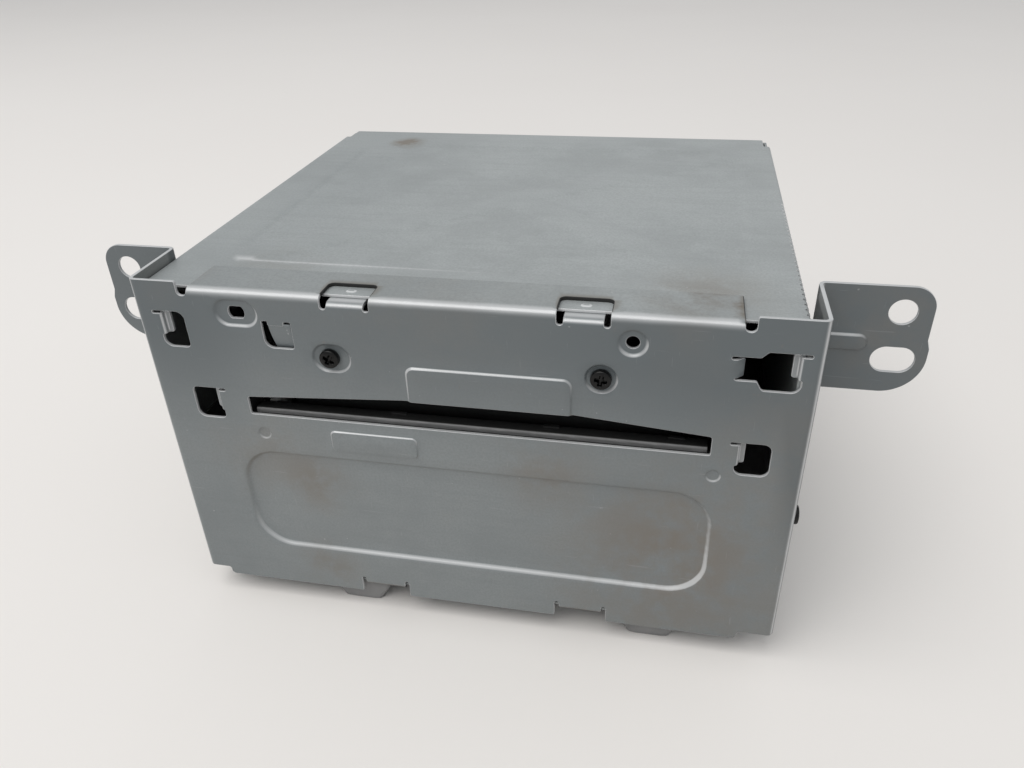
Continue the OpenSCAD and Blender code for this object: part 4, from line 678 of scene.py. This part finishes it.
def front_plate():
    """The plate's flat pattern, folded, with its pressings let in by a smooth step across their slopes.
    Slopes get a little rubbed brightness; those that face up or left get a painted highlight, and those
    that face down get painted shade."""
    pressings = plate_pressings + ear_ribs()
    folds = plate_folds()

    def surface(uv):
        place, normal = folded(uv, folds)
        depth = np.zeros(len(uv))
        wear_and_light = plate_wear_and_light(uv, normal)
        for p in pressings:
            u, v, w, h, _, deep, slope = p
            rise, steep = eased(box_distance(uv, p), slope)
            depth += deep * rise
            # Slopes: a little rubbed brightness on all; painted highlight where they face up or left,
            # towards the light, and painted shade where they face down or right.
            upward = np.clip((v - uv[:, 1]) / (0.4 * h), -1, 1) * np.sign(deep)
            leftward = np.clip((uv[:, 0] - u) / (0.48 * w), -1, 1) ** 5 * np.sign(deep)
            wear_and_light += steep * (0.25 + 0.5 * upward + np.where(leftward > 0, 0.7, 0.15) * leftward)
        return place, normal, depth, wear_and_light

    points = plate_points(pressings)
    piece = cut_sheet("front_plate_sheet", plate_outline(), plate_holes(), points, plate_lattice(), plate_t,
                      surface, added=lance_tab())
    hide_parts("front_plate")
    return piece


def cover_triangles():
    """Outlines of the four sunk triangles of the cover's cross, from the front one round by quarter
    turns."""
    mid = np.array([plate_mid, (cover_front + case_back) / 2])
    side_land, end_land, rib = 13, 18.6, 7
    half_w = (case_x1 - case_x0) / 2 - side_land
    half_d = (case_back - cover_front) / 2 - end_land
    shapes = []
    for turn in range(4):
        along, across = ((half_d, half_w), (half_w, half_d))[turn % 2]
        shape = np.array([[0, -rib], [-across + rib, -along], [across - rib, -along]], float)
        for _ in range(turn):
            shape = np.stack([-shape[:, 1], shape[:, 0]], 1)
        shapes.append(turned(shape + mid, True))
    return shapes


def shape_distance(uv, shape):
    """Signed distance to a convex outline, taken as the largest distance from its sides' lines."""
    side = np.roll(shape, -1, axis=0) - shape
    side /= np.linalg.norm(side, axis=1)[:, None]
    right = np.stack([side[:, 1], -side[:, 0]], 1)
    return ((uv[:, None] - shape) * right).sum(-1).max(1)


def top_cover():
    """Cover sheet: a flat top with three lips folded down, a row of vent slots through the right lip
    and the cross left standing between four sunk triangles."""
    thick = 0.8
    bend = 0.9
    sunk = 0.45
    lip = 12
    rear_lip = 10
    notch_w = 2.5
    notch_d = 10
    grow = bend * (quarter - 1)
    mid = (case_x0 + case_x1) / 2
    inner = (case_x1 - case_x0) / 2 - notch_w
    outer = inner + notch_w + grow + lip
    notch = case_back - notch_d
    rear = case_back + grow + rear_lip
    half = [(inner, rear, 1), (inner, notch, 0.8), (outer, notch, 1), (outer, cover_front, 1)]
    vent_count, vent_pitch, vent_w, first_vent = 28, 3.0, 1.5, 8.75
    top = case_x1 - 1.0
    foot = case_x1 + grow + 9
    rows = first_vent + vent_pitch * np.arange(vent_count)
    vents = [round_box((top + foot) / 2, row, foot - top, vent_w, 0.7) for row in rows]
    shapes = cover_triangles()
    slope = 2.2
    extra = []
    for shape in shapes:
        core = shape.mean(0)
        for t in np.linspace(0, 1, 4):
            extra.append(divided(core + (shape - core) * (1 - 0.13 * t), 2.0))
    dents = [(x + tab_shift, 6.6, 3.2, 2.2, 1.0, -0.22, 0.9) for x in (-lock_x, lock_x)]
    extra += [rings_of(d) for d in dents]
    down = [(bend * quarter, bend), long_run]
    step = 4.0
    lines = [[np.arange(mid - outer, mid + outer, step)], [np.arange(cover_front, rear, step)]]
    folds = []
    for axis, start, way in ((0, case_x1 - bend, 1), (0, case_x0 + bend, -1), (1, case_back - bend, 1)):
        folds.append(whole_fold(axis, start, way, down))
        lines[axis].append(fold_lines(start, way, bend, count=5))
    lattice = [np.concatenate(line) for line in lines]

    def surface(uv):
        place, normal = folded(uv, folds)
        depth = np.zeros(len(uv))
        wear_and_light = np.zeros(len(uv))
        # Band along the front edge of the front triangle, which gets a painted highlight on its left part.
        line = np.exp(-((uv[:, 1] - shapes[0][:, 1].min() - slope / 2) / 1.3) ** 2)
        for shape in shapes:
            rise, steep = eased(shape_distance(uv, shape), slope)
            depth += sunk * rise
            # The triangles' slopes are darkened a little, away from that band.
            wear_and_light -= 0.18 * steep * (1 - line)
        # Painted highlight along that band, on its left part.
        wear_and_light += 0.75 * line * np.clip((20 - uv[:, 0]) / 60, 0, 1) * np.clip((uv[:, 0] + 76) / 3, 0, 1)
        for dent in dents:
            rise, steep = eased(box_distance(uv, dent), dent[6])
            depth += dent[5] * rise
            # Painted highlight on the slopes of the dents.
            wear_and_light = np.maximum(wear_and_light, steep)
        lay = np.stack([place[:, 0], place[:, 2], case_top - place[:, 1]], 1)
        up = np.stack([normal[:, 0], normal[:, 2], -normal[:, 1]], 1)
        return lay, up, depth, wear_and_light

    outline = rounded(mirrored(mid, half))
    points = np.concatenate(extra)
    piece = cut_sheet("top_cover_sheet", outline, vents, points, lattice, thick, surface, 0.1)
    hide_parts("top_cover")
    return piece


def lathe(profile, count):
    """Coordinates of a profile (radius, height) turned about z."""
    angle = round_angles(count)
    r = profile[:, :1]
    return r * np.cos(angle), r * np.sin(angle), np.repeat(profile[:, 1:], count, 1)


def screw_shape(length, count=64):
    """Pan head screw along +z from its seat at 0: a profile turned about z, with a cross let into the
    head where either coordinate is small."""
    dome_r, dome_h, brow_r = 2.3, 0.25, 0.45
    head_r, head_h, shank_r = dome_r + brow_r, 1.9, 1.4
    cross_w, cross_r, cross_d = 0.62, 1.75, 1.15
    t = np.linspace(0, 1, 18)
    dome = np.stack([dome_r * t, -head_h + dome_h * t ** 4], 1)
    s = np.linspace(0, 1, 6)[1:] * quarter
    brow = np.stack([dome_r + brow_r * np.sin(s), -head_h + dome_h + brow_r * (1 - np.cos(s))], 1)
    rest = np.array([[head_r, -0.1], [head_r - 0.1, 0], [shank_r, 0], [shank_r, length], [0, length]])
    profile = np.concatenate([dome, brow, rest])
    x, y, z = lathe(profile, count)
    narrow = np.minimum(np.abs(x), np.abs(y))
    across = np.clip((cross_w - narrow) / 0.3, 0, 1)
    reach = np.clip((cross_r - np.hypot(x, y)) / 0.35, 0, 1)
    z = z + cross_d * across * reach * (z < -1.2)
    return np.stack([x, y, z], -1)


def screws(node, places, length, turns):
    """Screws at their places, each turned so that its +z lies along the direction given."""
    shape = screw_shape(length)
    copies = []
    for (at, way), spin in zip(places, turns):
        way = np.array(way, float)
        side = np.cross([0, 0, 1], way)
        up = np.cross(way, side)
        a = math.cos(spin) * side + math.sin(spin) * up
        copies.append(shape @ np.stack([a, np.cross(way, a), way]) + at)
    return placed(node + "_turned", node, copies)


def weld(piece):
    """Closes seams and poles of a turned shape, and points its faces outwards."""
    work = bmesh.new()
    work.from_mesh(piece.data)
    bmesh.ops.remove_doubles(work, verts=work.verts, dist=1e-6)
    bmesh.ops.recalc_face_normals(work, faces=work.faces)
    work.to_mesh(piece.data)
    work.free()


def bench_box(node):
    """Lowest and highest corner of a CAD node in the bench frame."""
    return [1000 * np.array(corner) - to_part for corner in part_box(node)]


def placed(name, node, copies):
    """Grids of one shape, each closed round, as one piece that stands for a node."""
    rows, count, _ = copies[0].shape
    faces = tube_faces(rows, count)
    quads = np.concatenate([faces + i * rows * count for i in range(len(copies))])
    piece = make_mesh(name, np.concatenate(copies).reshape(-1, 3), quads.tolist())
    weld(piece)
    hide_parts(node)
    return piece


def foot_shape(count=64):
    """Foot as a stack of superellipses |x/a|^8 + |y/b|^8 = 1 from its sole up to a neck under the
    floor. The half width a swells in a quarter arc and then slopes out, the half length b turns up in a
    small arc and stays."""
    turn = np.linspace(0, quarter, 7)
    sole = -floor_z
    arc = 1.2
    neck = 3.0
    wide, long = foot_half_w, foot_half_l
    rows = [(0, 0, sole), (wide - 4.8, long - 1.7, sole)]
    for t in turn:
        out = math.sin(t)
        rows.append((wide - 3.8 + arc * out, long - 0.7 * (1 - out), sole + arc * (1 - math.cos(t))))
    rows += [(wide - 2.6 * (1 - h), long, sole + arc + 3.7 * h) for h in (0.3, 0.6, 0.9, 1.0)]
    rows += [(wide, long, -1.4), (wide - 0.1, long - 0.1, -1.25), (wide - 0.4, long - 0.4, -1.1)]
    rows += [(neck, neck, -1.1), (neck, neck, 0), (0, 0, 0)]
    half_x, half_y, z = np.array(rows, float).T[..., None]
    a, b = squarish(count)
    return np.stack([half_x * a, half_y * b, np.repeat(z, count, 1)], -1)


def tube_faces(rows, count):
    """Quads between the neighbouring rings of a grid that closes round."""
    row, col = np.meshgrid(np.arange(rows - 1), np.arange(count), indexing="ij")
    nxt = (col + 1) % count
    quads = [row * count + col, row * count + nxt, (row + 1) * count + nxt, (row + 1) * count + col]
    return np.stack(quads, -1).reshape(-1, 4)


def feet():
    """Four feet under the tub floor, two behind the plate's lower edge and two at the rear."""
    low, high = bench_box("feet")
    places = [(x, y, 0) for x in foot_x for y in (low[1] + foot_half_l, high[1] - foot_half_l)]
    return placed("feet_moulded", "feet", [foot_shape() + place for place in places])


def damper_shape(height, count=40):
    """Rubber damper turned about z: the radius r - 0.35 (1 - cos 6 pi t) draws in three waists between
    flat ends."""
    t = np.linspace(0, 1, 31)
    r = np.concatenate([[0], damper_r - 0.35 * (1 - np.cos(6 * math.pi * t)), [0]])
    z = np.concatenate([[0], t, [1]]) * height
    return np.stack(lathe(np.stack([r, z], 1), count), -1)


def spring_shape(height, count=10):
    """Coil spring: a round wire carried along a helix, its height rising evenly with the turn; the
    first and last ring shrink to a point."""
    t = np.linspace(0, 1, 28 * spring_turns + 1)
    t = np.concatenate([[0], t, [1]])[:, None]
    wire = np.full(t.shape, spring_wire_r)
    wire[[0, -1]] = 0
    around = round_angles(count)
    turn = 2 * math.pi * spring_turns * t
    r = spring_r + wire * np.cos(around)
    end = spring_wire_r + 0.1
    z = end + t * (height - 2 * end) + wire * np.sin(around)
    return np.stack([r * np.cos(turn), r * np.sin(turn), z], -1)


def ribbon_shape(low, high, count=24):
    """Flat ribbon: a squarish section carried along a level run, a quarter bend and a run straight
    down; the first and last section shrink to a point."""
    r = ribbon_bend - ribbon_t / 2
    level = high[1] - low[1] - ribbon_bend
    drop = high[2] - low[2] - ribbon_bend
    bend = quarter * r
    s = np.concatenate([[0], np.linspace(0, level, 8), level + bend * np.linspace(0.1, 1, 10),
                        level + bend + drop * np.linspace(0.05, 1, 20), [level + bend + drop]])
    along, aside, heading = (value[:, None] for value in bent_path(s, [(level, 0), (bend, r), (drop, 0)]))
    size = np.ones(along.shape)
    size[[0, -1]] = 0
    a, b = squarish(count)
    off = ribbon_t / 2 * size * b
    x = (low[0] + high[0]) / 2 + (high[0] - low[0]) / 2 * size * a
    y = low[1] + along + off * np.sin(heading)
    z = high[2] - ribbon_t / 2 - aside + off * np.cos(heading)
    return np.stack([x, y, z], -1)


def soft_mounts(materials):
    """Dampers and springs between the shelf and the deck, and the deck's ribbon, each with its foot on the
    case and its head on the deck."""
    low, high = bench_box("dampers")
    height = high[2] - low[2]
    xs, ys = ((low[axis] + damper_r, high[axis] - damper_r) for axis in range(2))
    places = [(x, y, low[2]) for x in xs for y in ys]
    ends = bench_box("deck_ribbon")
    rubbers = [damper_shape(height) + place for place in places]
    coils = [spring_shape(height) + place for place in places]
    dampers = placed("dampers_moulded", "dampers", rubbers)
    springs = placed("damper_springs_wound", "damper_springs", coils)
    ribbon = placed("deck_ribbon_bent", "deck_ribbon", [ribbon_shape(*ends)])
    made = [
        (dampers, "rubber_black", low[2], high[2]),
        (springs, "polished_steel", low[2], high[2]),
        (ribbon, "ribbon_film", ends[0][2] + ribbon_plug, ends[1][2] - ribbon_bend),
    ]
    for piece, slot, foot, head in made:
        dress(piece, materials[slot])
        0.001 * (foot + floor_z)
        0.001 * (head + floor_z)
        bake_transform(piece)


class Wire:
    """A socket of a material. Operators on it add Math nodes, and make() adds any other node."""

    def __init__(self, tree, socket):
        self.tree = tree
        self.socket = socket

    def make(self, kind, settings=None, inputs=None, out=0):
        """Node of any type: its settings first, then the values or links of its sockets."""
        node = self.tree.nodes.new(kind)
        for key, value in (settings or {}).items():
            setattr(node, key, value)
        for key, value in (inputs or {}).items():
            if isinstance(value, Wire):
                self.tree.links.new(value.socket, node.inputs[key])
            else:
                node.inputs[key].default_value = value
        return Wire(self.tree, node.outputs[out]) if len(node.outputs) else node

    def math(self, operation, first, second):
        return self.make("ShaderNodeMath", {"operation": operation}, {0: first, 1: second})

    def __add__(self, other):
        return self.math("ADD", self, other)

    def __sub__(self, other):
        return self.math("SUBTRACT", self, other)

    def __rsub__(self, other):
        return self.math("SUBTRACT", other, self)

    def __mul__(self, other):
        return self.math("MULTIPLY", self, other)

    __radd__ = __add__
    __rmul__ = __mul__


def new_finish(name):
    """Empty material with its tree's Object coordinates."""
    material = bpy.data.materials.new(name)
    material.use_nodes = True
    material.node_tree.nodes.clear()
    start = Wire(material.node_tree, None)
    return material, start.make("ShaderNodeTexCoord", out=3)


def shade(at, base, roughness, metallic=0.0, normal=None, **fixed):
    """Principled surface and its output; fixed values go straight onto its sockets."""
    inputs = {"Base Color": base, "Roughness": roughness, "Metallic": metallic}
    if normal is not None:
        inputs["Normal"] = normal
    inputs.update({key.replace("_", " "): value for key, value in fixed.items()})
    surface = at.make("ShaderNodeBsdfPrincipled", inputs=inputs)
    at.make("ShaderNodeOutputMaterial", inputs={"Surface": surface})


def noise(at, scale, detail=3.0, rough=0.5, stretch=None):
    """Soft noise, drawn out along an axis where stretch is given."""
    if stretch:
        at = at.make("ShaderNodeMapping", inputs={"Vector": at, "Scale": stretch})
    inputs = {"Vector": at, "Scale": scale, "Detail": detail, "Roughness": rough}
    return at.make("ShaderNodeTexNoise", inputs=inputs)


def band(value, low, high):
    """Smooth step from 0 at low to 1 at high."""
    settings = {"interpolation_type": "SMOOTHSTEP"}
    return value.make("ShaderNodeMapRange", settings, {"Value": value, "From Min": low, "From Max": high})


def blend(factor, first, second):
    """Colour between two, by a factor."""
    return factor.make("ShaderNodeMix", {"data_type": "RGBA"}, {0: factor, 6: first, 7: second}, out=2)


def spot(at, place, radius):
    """1 at a place in the bench frame, falling to 0 at the radius."""
    centre = tuple((np.array(place) + to_part) * 0.001)
    far = at.make("ShaderNodeVectorMath", {"operation": "DISTANCE"}, {0: at, 1: centre}, out=1)
    return 1 - band(far, 0, radius * 0.001)


def bench_axis(at, axis):
    """Bench coordinate along one axis, in millimetres."""
    return at.make("ShaderNodeSeparateXYZ", inputs={0: at}, out=axis) * 1000 - to_part[axis]


def bumped(height, strength, distance):
    """Normal tilted by a height."""
    inputs = {"Strength": strength, "Distance": distance, "Height": height}
    return height.make("ShaderNodeBump", inputs=inputs)


def grey(value, warm=0.0):
    """Neutral linear colour, a little warmer or cooler."""
    return (value * (1 + warm), value, value * (1 - warm), 1)


def tinted(colour):
    """Opaque colour from three channels."""
    return (*(float(channel) for channel in colour), 1)


def zinc(name, tone, stain_level, spots, film_and_shade=None):
    """Galvanised sheet: pale and dull patches, faint rolled streaks, fine grain, hairline scratches,
    specks, brown stains where it was handled, brown painted shade at spots placed for it, a darker layer
    where film_and_shade is given, bright bare metal and painted highlight where wear_and_light is above
    0, dirt and painted shade where it is below 0, and painted near black shade in the gaps, where it is
    far below."""
    material, at = new_finish(name)
    cloud = noise(at, 24, 5, 0.6)
    patch = noise(at, 75, 4, 0.65)
    grain = noise(at, 1500, 2, 0.6)
    streak = noise(at, 30, 4, 0.6, (1, 14, 14))
    scratch_a = band(noise(at, 55, 2, 0.4, (1.3, 60, 30)), 0.73, 0.75)
    scratch_b = band(noise(at, 60, 2, 0.4, (50, 4, 3)), 0.735, 0.755)
    specks = band(noise(at, 640, 1, 0.3), 0.79, 0.83)
    dirt = band(noise(at, 380, 3, 0.6), 0.70, 0.78)
    wear_and_light = at.make("ShaderNodeAttribute", {"attribute_name": "wear_and_light"}, out=2)
    cool = np.array([0.94, 1.0, 1.005])
    blue = np.array([0.87, 1.0, 1.06])
    brown = np.array([0.56, 0.51, 0.45])
    grime_and_shade = np.array([0.4, 0.33, 0.24])
    colour = blend(band(cloud, 0.35, 0.65), tinted(tone * 0.91 * cool), tinted(tone * 1.07 * cool))
    marks = [(patch, 0.4, 0.4, 1.18), (streak, 0.45, 0.26, 0.8), (grain, 0.35, 0.42, 0.7)]
    for mark, low, level, shift in marks:
        colour = blend(band(mark, low, 0.7) * level, colour, tinted(tone * shift * cool))
    # Darker layer: painted shade on the plate, a duller left side on the cover.
    if film_and_shade:
        colour = blend(film_and_shade(at), colour, tinted(tone * 0.4 * blue))
    stain_and_shade = band(cloud * 0.6 + patch * 0.4, 0.5, 0.62) * stain_level
    # Spots add brown stains, and brown painted shade where the caller places them for it.
    for place, radius, level in spots:
        stain_and_shade = stain_and_shade + spot(at, place, radius) * band(patch * 0.7 + cloud * 0.3, 0.36, 0.6) * level
    colour = blend(stain_and_shade, colour, tinted(tone * brown))
    colour = blend((scratch_a + scratch_b) * 0.1, colour, grey(tone * 1.5, -0.01))
    colour = blend(specks * 0.3, colour, grey(tone * 1.5))
    colour = blend(dirt * 0.3, colour, grey(tone * 0.45, 0.1))
    # Dirt and painted shade where wear_and_light is below 0.
    colour = blend(band(-1 * wear_and_light, 0.05, 0.5) * 0.5, colour, tinted(tone * grime_and_shade))
    # Bare metal and painted highlight where wear_and_light is above 0.
    colour = blend(band(wear_and_light - stain_and_shade * 0.4, 0.1, 0.9) * 0.7, colour, grey(min(tone * 1.95, 0.8), -0.01))
    # Painted near black shade in the gaps, where wear_and_light is far below 0.
    colour = blend(band(-1 * wear_and_light, 0.8, 1.5) * 0.95, colour, grey(0.01))
    rough = 0.33 + patch * 0.16 + stain_and_shade * 0.2 - wear_and_light * 0.1
    relief = grain * 0.25 + streak * 0.15 + patch * 0.6 - scratch_a * 0.3 - scratch_b * 0.3
    shade(at, colour, rough, 0.18, bumped(relief, 0.16, 0.0004))
    return material


def plate_shade_and_film(at):
    """Painted shade on the plate's upright face, denser towards the top, the left side and the right edge
    and on the ears; on the flange, a thin darkening on its left."""
    across, deep, height = (bench_axis(at, axis) for axis in range(3))
    flange = band(height, case_top - 1, case_top) * band(deep, 0.6, 2) * (1 - band(deep, 18, 20))
    face = 0.48 + 0.4 * band(height, slot_low - 16, case_top - 6) + 0.2 * band(across, -20, plate_x1)
    ears = 0.4 * band(across, plate_x1 + 1, plate_x1 + 4) + 0.12 * band(across, plate_x0 - 4, plate_x0 - 1)
    edges = 0.13 * (1 - band(across, -82, -58))
    edges = edges + 0.34 * band(across, plate_x1 - 9, plate_x1 - 1) * band(height, 20, 60)
    top = 0.26 * (1 - band(across, -60, 30))
    return (face + ears + edges - 0.12) * (1 - flange) + top * flange


def cover_film(at):
    """Duller left side of the cover."""
    across = bench_axis(at, 0)
    return 0.2 * (1 - band(across, -75, -10))


def zinc_sheet():
    """Front plate's finish: mid grey zinc with brown handling stains in and round the large panel, and
    brown painted shade on the right ear and at the flange's right end.
    """
    spots = [
        ((-48, 0, 38), 17, 0.62), ((-62, 0, 48), 26, 0.4), ((21, 0, 51), 20, 0.6),
        ((56, 0, 34), 34, 0.5), ((-50, 0, 4), 17, 0.7), ((60, 0, 12), 60, 0.62),
        ((58, 13, 102), 18, 0.9), ((-85, 10, 102), 14, 0.7), ((-10, 3, 101), 40, 0.2),
        # (108, 23, 88) is painted shade on the right ear.
        ((108, 23, 88), 42, 0.3), ((84, 0, 62), 34, 0.3),
        # Painted shade in the gap at the flange's right end.
        ((flange_x1, 5, 101), 4, 2.5), ((flange_x1, 10, 101), 4, 2.5),
    ]
    return zinc("zinc_sheet", 0.355, 0.06, spots, plate_shade_and_film)


def cover_zinc():
    """Cover's finish: paler zinc with one dark rubbed place near the rear and dirt behind the
    flange."""
    spots = [((-62, 152, 100), 10, 1.6), ((60, 17, 100), 26, 0.6), ((-60, 18, 100), 22, 0.35)]
    return zinc("cover_zinc", 0.4, 0.03, spots, cover_film)


def dark_zinc():
    """Finish of the tub and the rear panel, which share the cover's slot and see less handling."""
    return zinc("case_zinc", 0.31, 0.06, [((0, 80, 0), 90, 0.4)])


def metal(name, tone, warm, rough, grain_scale, stretch=None, metallic=0.9):
    """Plain metal part: fine grain or turning marks, dull patches and a few dark specks."""
    material, at = new_finish(name)
    grain = noise(at, grain_scale, 3, 0.6, stretch)
    patch = noise(at, 120, 4, 0.6)
    specks = band(noise(at, 700, 2, 0.5), 0.68, 0.74)
    colour = blend(band(patch, 0.35, 0.7), grey(tone * 0.88, warm), grey(tone * 1.08, warm))
    colour = blend(band(grain, 0.4, 0.7) * 0.3, colour, grey(tone * 0.7, warm))
    colour = blend(specks * 0.4, colour, grey(tone * 0.4, warm))
    shade(at, colour, rough + patch * 0.15, metallic, bumped(grain, 0.12, 0.0003))
    return material


def rail_steel():
    """Rail under the disc slot: its front edge is painted pale as lit steel, and its top is painted near
    black as shade towards the rear."""
    material, at = new_finish("rail_steel")
    front = bench_box("slot_rail")[0][1]
    deep = bench_axis(at, 1)
    grain = noise(at, 240, 3, 0.6, (1, 12, 12))
    pale = blend(band(grain, 0.4, 0.7), grey(0.18), grey(0.25))
    # Painted light: pale at the front edge, near black painted shade further back.
    colour = blend(band(deep, front + 0.1, front + 0.5), pale, grey(0.025))
    shade(at, colour, 0.4 + grain * 0.1, 0.1, bumped(grain, 0.12, 0.0003))
    return material


def plastic(name, colour, rough, level=1.0):
    """Moulded plastic or rubber: a fine pebbled skin, faint mottling and dust in patches."""
    material, at = new_finish(name)
    pebble = noise(at, 1300, 3, 0.6)
    patch = noise(at, 90, 4, 0.6)
    dust = band(noise(at, 300, 4, 0.7), 0.6, 0.8) * 0.14 * level
    colour = np.array(colour)
    tone = blend(band(patch, 0.35, 0.65), tinted(0.85 * colour), tinted(1.12 * colour))
    tone = blend(dust, tone, (0.3, 0.29, 0.27, 1))
    shade(at, tone, rough + patch * 0.12, 0.0, bumped(pebble, 0.2, 0.0002))
    return material


def board_green():
    """Circuit board: solder mask over a grid of copper runs, with bright pads."""
    material, at = new_finish("board_green")
    bricks = {"Vector": at, "Scale": 60.0, "Color1": grey(0), "Color2": grey(0.4), "Mortar": grey(1)}
    runs = at.make("ShaderNodeTexBrick", inputs={**bricks, "Mortar Size": 0.03})
    pads = at.make("ShaderNodeTexVoronoi", inputs={"Vector": at, "Scale": 190.0})
    patch = noise(at, 60, 3)
    colour = blend(patch, (0.012, 0.075, 0.036, 1), (0.02, 0.11, 0.05, 1))
    colour = blend(band(runs, 0.5, 0.9) * 0.5, colour, (0.04, 0.17, 0.08, 1))
    pad = 1 - band(pads, 0.13, 0.17)
    colour = blend(pad, colour, (0.55, 0.54, 0.5, 1))
    shade(at, colour, 0.42 - pad * 0.15, pad * 0.9, bumped(pad + band(runs, 0.5, 0.9) * 0.4, 0.2, 0.0003))
    return material


def lens_glass():
    """Pickup lens: clear bluish glass with a faint coating bloom."""
    material, at = new_finish("lens_glass")
    bloom = noise(at, 400, 2)
    colour = blend(bloom, (0.16, 0.2, 0.32, 1), (0.24, 0.2, 0.36, 1))
    shade(at, colour, 0.04 + bloom * 0.06, 0.0, Coat_Weight=0.8)
    return material


def floor_paper():
    """Pale warm floor with barely seen unevenness."""
    material, at = new_finish("floor_paper")
    patch = noise(at, 3, 3)
    grain = noise(at, 900, 2)
    colour = blend(patch, (0.83, 0.80, 0.775, 1), (0.86, 0.835, 0.81, 1))
    shade(at, colour, 0.75 + grain * 0.1, 0.0, bumped(grain, 0.05, 0.0003), Specular_IOR_Level=0.2)
    return material


def finishes():
    """One material for each of the record's slots."""
    made = {
        "zinc_sheet": zinc_sheet(),
        "cover_zinc": dark_zinc(),
        "board_green": board_green(),
        "lens_glass": lens_glass(),
    }
    metals = [
        ("black_screw", 0.03, 0.0, 0.24, 900, None, 1.0),
        ("bright_screw", 0.55, 0.02, 0.3, 900),
        ("gold_metal", 0.5, 0.28, 0.25, 700),
        ("tin_can", 0.6, 0.01, 0.25, 300),
        ("alloy", 0.5, -0.01, 0.42, 260, (1, 1, 12)),
        ("deck_steel", 0.42, 0.0, 0.36, 240, (12, 1, 1)),
        ("polished_steel", 0.62, 0.0, 0.14, 500),
        ("motor_steel", 0.48, 0.01, 0.28, 320, (1, 12, 12)),
        ("sled_alloy", 0.36, -0.01, 0.4, 420),
    ]
    plastics = [
        ("black_plastic", (0.012, 0.012, 0.013), 0.42, 0.5),
        ("grey_foot", (0.2, 0.2, 0.2), 0.5),
        ("chip_black", (0.02, 0.02, 0.021), 0.5),
        ("capacitor_sleeve", (0.02, 0.024, 0.05), 0.3, 0.4),
        ("cream_plastic", (0.6, 0.55, 0.43), 0.45),
        ("ribbon_film", (0.55, 0.5, 0.36), 0.35, 0.3),
        ("rubber_black", (0.018, 0.018, 0.018), 0.72),
        ("white_nylon", (0.84, 0.83, 0.8), 0.4, 0.3),
    ]
    made.update({look[0]: metal(*look) for look in metals})
    made.update({look[0]: plastic(*look) for look in plastics})
    return made


def dress(piece, material, body=None):
    """Gives a piece its finish, and attaches it to its body where one is given."""
    piece.data.materials.clear()
    piece.data.materials.append(material)
    if body:
        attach(piece, body)


def dress_frame(materials):
    """Every carried-over CAD node takes the finish of its slot."""
    for part in frame["record"]["subparts"]:
        dress(frame["nodes"][part["node"]], materials[part["material_slot"]])


def stage():
    """Round pale floor, soft sky and one wide lamp from the upper front left."""
    sides = 96
    floor_r = 3000
    points = np.concatenate([circle(0, 0, floor_r, sides), np.zeros((sides, 1))], 1) - to_part
    floor = make_mesh("floor", points, [list(range(sides))])
    floor.data.materials.append(floor_paper())
    world = bpy.data.worlds.new("soft_sky")
    world.use_nodes = True
    sky = world.node_tree.nodes["Background"].inputs
    sky["Color"].default_value = (0.96, 0.98, 1.0, 1)
    sky["Strength"].default_value = 0.54
    bpy.context.scene.world = world
    lamp = bpy.data.lights.new("window", "AREA")
    lamp.size = 2.1
    lamp.energy = 37
    lamp.color = (1.0, 0.985, 0.96)
    holder = bpy.data.objects.new("window", lamp)
    holder.location = (-0.65, -0.85, 2.2)
    holder.rotation_euler = (math.radians(21), math.radians(-15), 0)
    bpy.context.scene.collection.objects.link(holder)


def camera():
    """Camera at the photograph's viewpoint, with its axes as columns."""
    lens = bpy.data.cameras.new("camera")
    lens.sensor_fit = "HORIZONTAL"
    lens.sensor_width = 36
    lens.lens = 28.83
    lens.clip_start = 0.01
    eye = bpy.data.objects.new("camera", lens)
    right = (0.97993, 0.19725, -0.02879)
    up = (-0.07816, 0.51308, 0.85478)
    back = (0.18338, -0.83537, 0.51820)
    place = (0.05196, -0.27063, 0.20207)
    eye.matrix_world = Matrix([[right[i], up[i], back[i], place[i]] for i in range(3)] + [[0, 0, 0, 1]])
    bpy.context.scene.collection.objects.link(eye)
    bpy.context.scene.camera = eye


def build():
    """Puts the whole object together."""
    materials = finishes()
    dress_frame(materials)
    dress(frame["nodes"]["slot_rail"], rail_steel())
    dress(front_plate(), materials["zinc_sheet"], "case")
    dress(top_cover(), cover_zinc(), "case")
    fronts = [((x, dimple, screw_z), (0, 1, 0)) for x in screw_x]
    front_screws = screws("front_screws", fronts, screw_l, (0.5, 0.2))
    dress(front_screws, materials["black_screw"], "case")
    dress(feet(), materials["grey_foot"], "case")
    soft_mounts(materials)
    sides = [((plate_x0, *side_screw), (1, 0, 0)), ((plate_x1, *side_screw), (-1, 0, 0))]
    side_screws = screws("side_screws", sides, side_screw_l, (0.3, 0.7))
    dress(side_screws, materials["black_screw"], "case")


build()
stage()
camera()
bpy.context.scene.view_settings.view_transform = "Standard"
